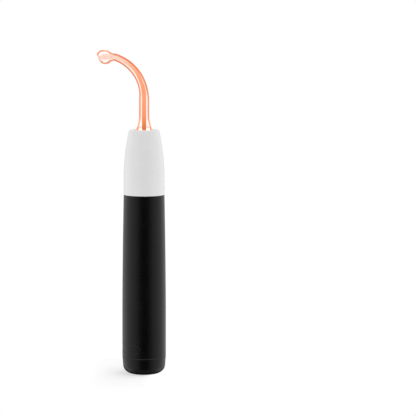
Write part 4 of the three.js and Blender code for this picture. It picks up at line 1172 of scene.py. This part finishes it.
# Painted glow: past each corner's facing weight, the glass takes the orange colour of its line.
glass_facing = set_node(glass_tree, "LayerWeight", {"Blend": 0.5}).outputs["Facing"]
past_line = figured(glass_tree, "SUBTRACT", glass_facing, glass_line["Alpha"])
line_share = mapped(glass_tree, past_line, 0.0, LINE_SOFTNESS)
glass_tint = blended(glass_tree, line_share, (*CLEAR_TINT, 1.0), glass_line["Color"])
glass_tree.links.new(glass_tint, glass_shader.inputs["Base Color"])
ripple = grain(lit_glass, RIPPLE_SIZE, detail=1.0)
relief(lit_glass, glass_shader, ripple.outputs[0], RIPPLE_DEPTH)
print("nodes of the glass:", len(glass_tree.nodes))

# %% Let light that is caught in the glass take the glow's colour, as a painted glow
# Painted glow: a ray that has bounced more than CAUGHT_AFTER times in the glass meets a fixed warm emission.
ray_depth = set_node(glass_tree, "LightPath").outputs["Ray Depth"]
is_caught = figured(glass_tree, "GREATER_THAN", ray_depth, CAUGHT_AFTER)
painted_caught_glow = set_node(glass_tree, "Emission", {"Color": CAUGHT_COLOUR})
glass_mix = shader_mix(glass_tree, is_caught, glass_shader, painted_caught_glow)
glass_tree.links.new(glass_mix.outputs[0], glass_tree.nodes["Material Output"].inputs["Surface"])
fit(glass, lit_glass, "electrode", "electrode_glass", "electrode_glass")

# %% [markdown]
# ## Glowing gas
# The gas glows as a soft thread up the middle of the glass, deepest near the nose. It fades through
# the bend, where it lies nearer to the outside, and spreads into a pale pink haze in the head. The
# glass magnifies it, so the thread is thin. A colour on its corners carries the change along it.

# %% Lay the thread of gas
GAS_RADIUS = 1.15
GAS_START = 183.0 - BEND_LEVEL
GAS_STOPS = [
    (-26.0, Vector((0.69, 0.150, 0.025)), 1.0), (-23.0, Vector((0.76, 0.170, 0.032)), 1.0),
    (-20.0, Vector((0.88, 0.24, 0.074)), 1.0), (-15.6, Vector((1.0, 0.31, 0.13)), 1.0),
    (-11.0, Vector((1.05, 0.35, 0.16)), 1.0), (-2.0, Vector((1.05, 0.395, 0.205)), 1.0),
    (5.0, Vector((1.05, 0.38, 0.19)), 1.0), (15.0, Vector((1.05, 0.40, 0.22)), 0.85),
    (26.0, Vector((1.05, 0.48, 0.30)), 0.75), (33.0, Vector((1.05, 0.58, 0.44)), 0.55),
    (39.0, Vector((1.05, 0.62, 0.48)), 0.48), (60.0, Vector((1.05, 0.58, 0.44)), 0.5),
]
HAZE_RADIUS = 1.6
HAZE_LENGTH = 3.0
GAS_SIDES = 32
# Each change along the thread: how much, from which distance, and over what length, in millimetres.
GAS_THINS = (0.15, 4.0, 10.0)
GAS_WIDENS = (0.35, 24.0, 12.0)
GAS_SHIFTS = (0.4, 12.0, 10.0)
HAZE_RISES = (0.15, BEND_LENGTH, 4.0)


def change(distance, amount, start, length):
    return amount * ease((distance - start) / length)


def gas_ring(distance):
    """Ring of the thread, which widens into the haze of the head, and lies off the middle in the bend."""
    place, across = centre_line(distance)
    radius = GAS_RADIUS - change(distance, *GAS_THINS) + change(distance, *GAS_WIDENS)
    from_middle = (distance - HEAD_PLACE) / HAZE_LENGTH
    if from_middle > 0:
        radius = HAZE_RADIUS * math.sqrt(max(0.0, 1 - from_middle ** 2))
    else:
        radius += (HAZE_RADIUS - radius) * ease(1 + from_middle * HAZE_LENGTH / HEAD_RADIUS)
    shift = change(distance, *GAS_SHIFTS) * ease((BEND_LENGTH + 2 - distance) / 4)
    shift += change(distance, *HAZE_RISES)
    ring = disc_ring(radius, GAS_SIDES)
    return [tuple(place + across * (shift + x) + Vector((0, y, 0))) for x, y in ring]


gas_distances = heights(GAS_START, HEAD_PLACE, 130)
gas_distances += heights(HEAD_PLACE, HEAD_PLACE + HAZE_LENGTH * 0.99, 24)[1:]
gas = loft("gas_thread", [gas_ring(d) for d in gas_distances])
gas_tint = gas.data.color_attributes.new("gas", "FLOAT_COLOR", "POINT")
for corner in gas.data.vertices:
    colour, share = between(GAS_STOPS, line_distance(corner.co / MM))
    gas_tint.data[corner.index].color = (*colour, share)
print("rings of gas:", len(gas_distances))

# %% Make the gas glow
SOFT_EDGE = (0.35, 0.95)
gas_glow = empty_material("gas_glow")
gas_tree = gas_glow.node_tree
gas_attribute = set_node(gas_tree, "Attribute", attribute_name="gas").outputs
gas_emission = set_node(gas_tree, "Emission", {"Color": gas_attribute["Color"]})
gas_clear = set_node(gas_tree, "BsdfTransparent")
gas_edge = set_node(gas_tree, "LayerWeight", {"Blend": 0.5}).outputs["Facing"]
gas_soft = mapped(gas_tree, gas_edge, *SOFT_EDGE, 1.0, 0.0)
gas_share = figured(gas_tree, "MULTIPLY", gas_soft, gas_attribute["Alpha"])
gas_mix = shader_mix(gas_tree, gas_share, gas_clear, gas_emission)
set_node(gas_tree, "OutputMaterial", {"Surface": gas_mix.outputs[0]})
fit(gas, gas_glow, "electrode", "electrode_glass")

# %% [markdown]
# ## Bright foot of the glass
# A plug of pale cement fills the foot of the glass from the cap up to the mouth of the nose. It holds
# the wire. It glows by itself, a painted glow in place of the light that the glass keeps from it, so the
# flared foot looks white. It is turned, and its painted glow gets weaker downwards, a painted shade
# that shows when the electrode is pulled out.

# %% Turn the cement plug
CEMENT_RADIUS = 5.7
CEMENT_TOP = 183.7
CEMENT_BOTTOM = 170.6
DIM_LEVEL = 176
BRIGHT_LEVEL = 183
DIM_PAINTED_GLOW = 0.62
cement, cement_shader = finish("pale_cement", (0.95, 0.93, 0.90), 0.8)
cement_grain = grain(cement, 0.5)
cement_tone = tint(cement, cement_grain.outputs[0], (1.0, 0.97, 0.94), (1.0, 0.99, 0.98))
cement_tree = cement.node_tree
# Painted glow: the cement's tone is also the colour that it emits.
cement_tree.links.new(cement_tone, cement_shader.inputs["Emission Color"])
cement_place = set_node(cement_tree, "TexCoord").outputs["Object"]
cement_axes = set_node(cement_tree, "SeparateXYZ", {0: cement_place}).outputs
# Painted shade: the glow weakens from BRIGHT_LEVEL down to DIM_LEVEL.
cement_painted_glow = mapped(cement_tree, cement_axes["Z"], DIM_LEVEL * MM, BRIGHT_LEVEL * MM, DIM_PAINTED_GLOW, 1.0)
cement_tree.links.new(cement_painted_glow, cement_shader.inputs["Emission Strength"])
relief(cement, cement_shader, cement_grain.outputs[0], 0.02)
plug = turned("cement_plug", rounded([
    (0.0, CEMENT_BOTTOM), (CEMENT_RADIUS, CEMENT_BOTTOM, 0.4),
    (CEMENT_RADIUS, CEMENT_TOP, 0.1), (0.0, CEMENT_TOP),
]), sides=GLASS_SIDES)
fit(plug, cement, "electrode", "electrode_glass")

# %% [markdown]
# ## Cap and grip ring
# A thin metal cap closes the foot of the electrode, and a milky silicone ring in the mouth of the nose
# grips the glass. Both are small turned pieces with rounded edges. They show when the electrode is pulled.

# %% Turn the cap and the ring
CAP_KNOB = 155.4
CAP_BOTTOM = 156.0
CAP_FLOOR = 156.8
CAP_RADIUS = 5.8
CAP_BORE = 5.4
cap_outline = rounded([
    (0.0, CAP_KNOB), (1.6, CAP_KNOB, 0.25), (2.2, CAP_BOTTOM, 0.3), (CAP_RADIUS, CAP_BOTTOM, 0.5),
    (CAP_RADIUS, CAP_TOP, 0.15), (CAP_BORE, CAP_TOP, 0.15), (CAP_BORE, CAP_FLOOR), (0.0, CAP_FLOOR),
])
cap = turned("cap_turned", cap_outline, sides=GLASS_SIDES)
fit(cap, steel, "electrode", "nickel_steel", "electrode_cap")

rubber, rubber_shader = finish("milky_silicone", (0.80, 0.76, 0.72), 0.55)
rubber_grain = grain(rubber, 0.12)
rubber_gloss = spread(rubber, rubber_grain.outputs[0], 0.62, 0.8)
rubber.node_tree.links.new(rubber_gloss, rubber_shader.inputs["Roughness"])
relief(rubber, rubber_shader, rubber_grain.outputs[0], 0.02)
RING_TOP = 181.5
RING_BOTTOM = 179.1
ring_outline = rounded([
    (radius, level, 0.7)
    for radius, level in ((6.1, RING_BOTTOM), (8.1, RING_BOTTOM), (8.1, RING_TOP), (6.1, RING_TOP))
])
ring = turned("grip_seal", ring_outline, sides=GLASS_SIDES)
fit(ring, rubber, "grip", "grip_rubber", "grip_ring")

# %% [markdown]
# ## Parts inside the handle
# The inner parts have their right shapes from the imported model, so they keep their meshes and only get
# finishes: solder mask over the board, wound copper, a shrunk sleeve on the cell, moulded insulators.
# A table gives each finish its tones, its grain and the parts that have it.

# %% Helpers for the inner finishes
INNER_SHEEN_CHANGE = 0.08


def textured(name, dark, light, roughness, size, depth, stretch=(1.0, 1.0, 1.0), kind="TexNoise", **sockets):
    """A finish whose tone, sheen and relief follow one texture of a size in millimetres."""
    material, shader = finish(name, dark, roughness, **sockets)
    texture = grain(material, size, stretch=stretch, kind=kind)
    source = texture.outputs["Distance"] if "Distance" in texture.outputs else texture.outputs[0]
    sheen = spread(material, source, roughness - INNER_SHEEN_CHANGE, roughness + INNER_SHEEN_CHANGE)
    tone = tint(material, source, dark, light, low=0.3, high=0.7)
    material.node_tree.links.new(tone, shader.inputs["Base Color"])
    material.node_tree.links.new(sheen, shader.inputs["Roughness"])
    relief(material, shader, source, depth)
    return material


finished = set()


def finish_parts(material, parts):
    """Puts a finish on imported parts, named in one string, through their material slots."""
    for name in parts.split():
        node = NODES[name]
        if not node.material_slots:
            node.data.materials.append(material)
        for slot in node.material_slots:
            slot.material = material
        finished.add(name)


print("slots of the board:", len(NODES["main_board"].material_slots))

# %% Give the inner parts their finishes
METAL = {"Metallic": 1.0}
WOUND = {"stretch": (0.02, 0.02, 1.0), **METAL}
DRAWN = {"stretch": (1.0, 1.0, 0.06), **METAL}
# Each row: finish, darker and lighter tone, roughness, grain size and relief in mm, options, parts.
INNER_FINISHES = [
    ("wound_copper", (0.50, 0.17, 0.06), (0.72, 0.30, 0.13), 0.35, 0.3, 0.05, WOUND,
     "primary_winding secondary_winding_1 secondary_winding_2 secondary_winding_3 secondary_winding_4"),
    ("spring_brass", (0.66, 0.46, 0.16), (0.78, 0.58, 0.24), 0.28, 0.4, 0.003, METAL, "contact_clip"),
    ("sink_aluminium", (0.60, 0.61, 0.63), (0.72, 0.73, 0.75), 0.4, 0.3, 0.004, DRAWN, "heat_sink"),
    ("board_mask", (0.010, 0.085, 0.030), (0.022, 0.140, 0.052), 0.38, 1.6, 0.02, {"kind": "TexVoronoi"},
     "main_board switch_board"),
    ("chip_body", (0.012, 0.012, 0.013), (0.022, 0.022, 0.024), 0.55, 0.1, 0.01, {},
     "charger_chip controller_chip driver_transistor tact_switch"),
    ("cell_sleeve", (0.020, 0.150, 0.085), (0.030, 0.190, 0.110), 0.32, 6.0, 0.05,
     {"stretch": (1.0, 1.0, 0.2)}, "battery_cell"),
    ("sintered_ferrite", (0.030, 0.030, 0.034), (0.055, 0.055, 0.060), 0.7, 0.15, 0.02, {},
     "ferrite_core filter_inductor"),
    ("insulator_white", (0.70, 0.69, 0.65), (0.76, 0.75, 0.71), 0.45, 0.3, 0.01, {},
     "coil_former electrode_socket"),
    ("chassis_grey", (0.60, 0.60, 0.57), (0.66, 0.66, 0.63), 0.5, 0.25, 0.01, {}, "chassis_frame"),
    ("sleeve_tape", (0.48, 0.36, 0.15), (0.60, 0.47, 0.22), 0.4, 3.0, 0.03,
     {"stretch": (0.3, 0.3, 1.0)}, "coil_sleeve"),
    ("capacitor_wrap", (0.010, 0.020, 0.060), (0.018, 0.032, 0.085), 0.35, 2.0, 0.02, {},
     "capacitor_1 capacitor_2"),
    ("lead_silicone", (0.50, 0.030, 0.020), (0.60, 0.045, 0.030), 0.5, 0.3, 0.01, {}, "hv_lead"),
    ("plunger_red", (0.45, 0.035, 0.025), (0.52, 0.045, 0.032), 0.45, 0.3, 0.01, {}, "switch_plunger"),
    ("lamp_package", (0.75, 0.74, 0.62), (0.82, 0.80, 0.68), 0.4, 0.4, 0.01, {}, "status_led"),
    ("control_case", (0.030, 0.100, 0.050), (0.045, 0.130, 0.070), 0.5, 0.4, 0.01, {},
     "potentiometer_body"),
]
STEEL_PARTS = """
    potentiometer_shaft potentiometer_nut chassis_screw_1 chassis_screw_2 board_screw_1 board_screw_2
    board_screw_3 board_screw_4 battery_spring battery_contact lead_in_wire
"""
for *values, options, parts in INNER_FINISHES:
    finish_parts(textured(*values, **options), parts)
finish_parts(steel, STEEL_PARTS)
print("parts without a finish:", sorted(set(NODES) - finished - replaced))
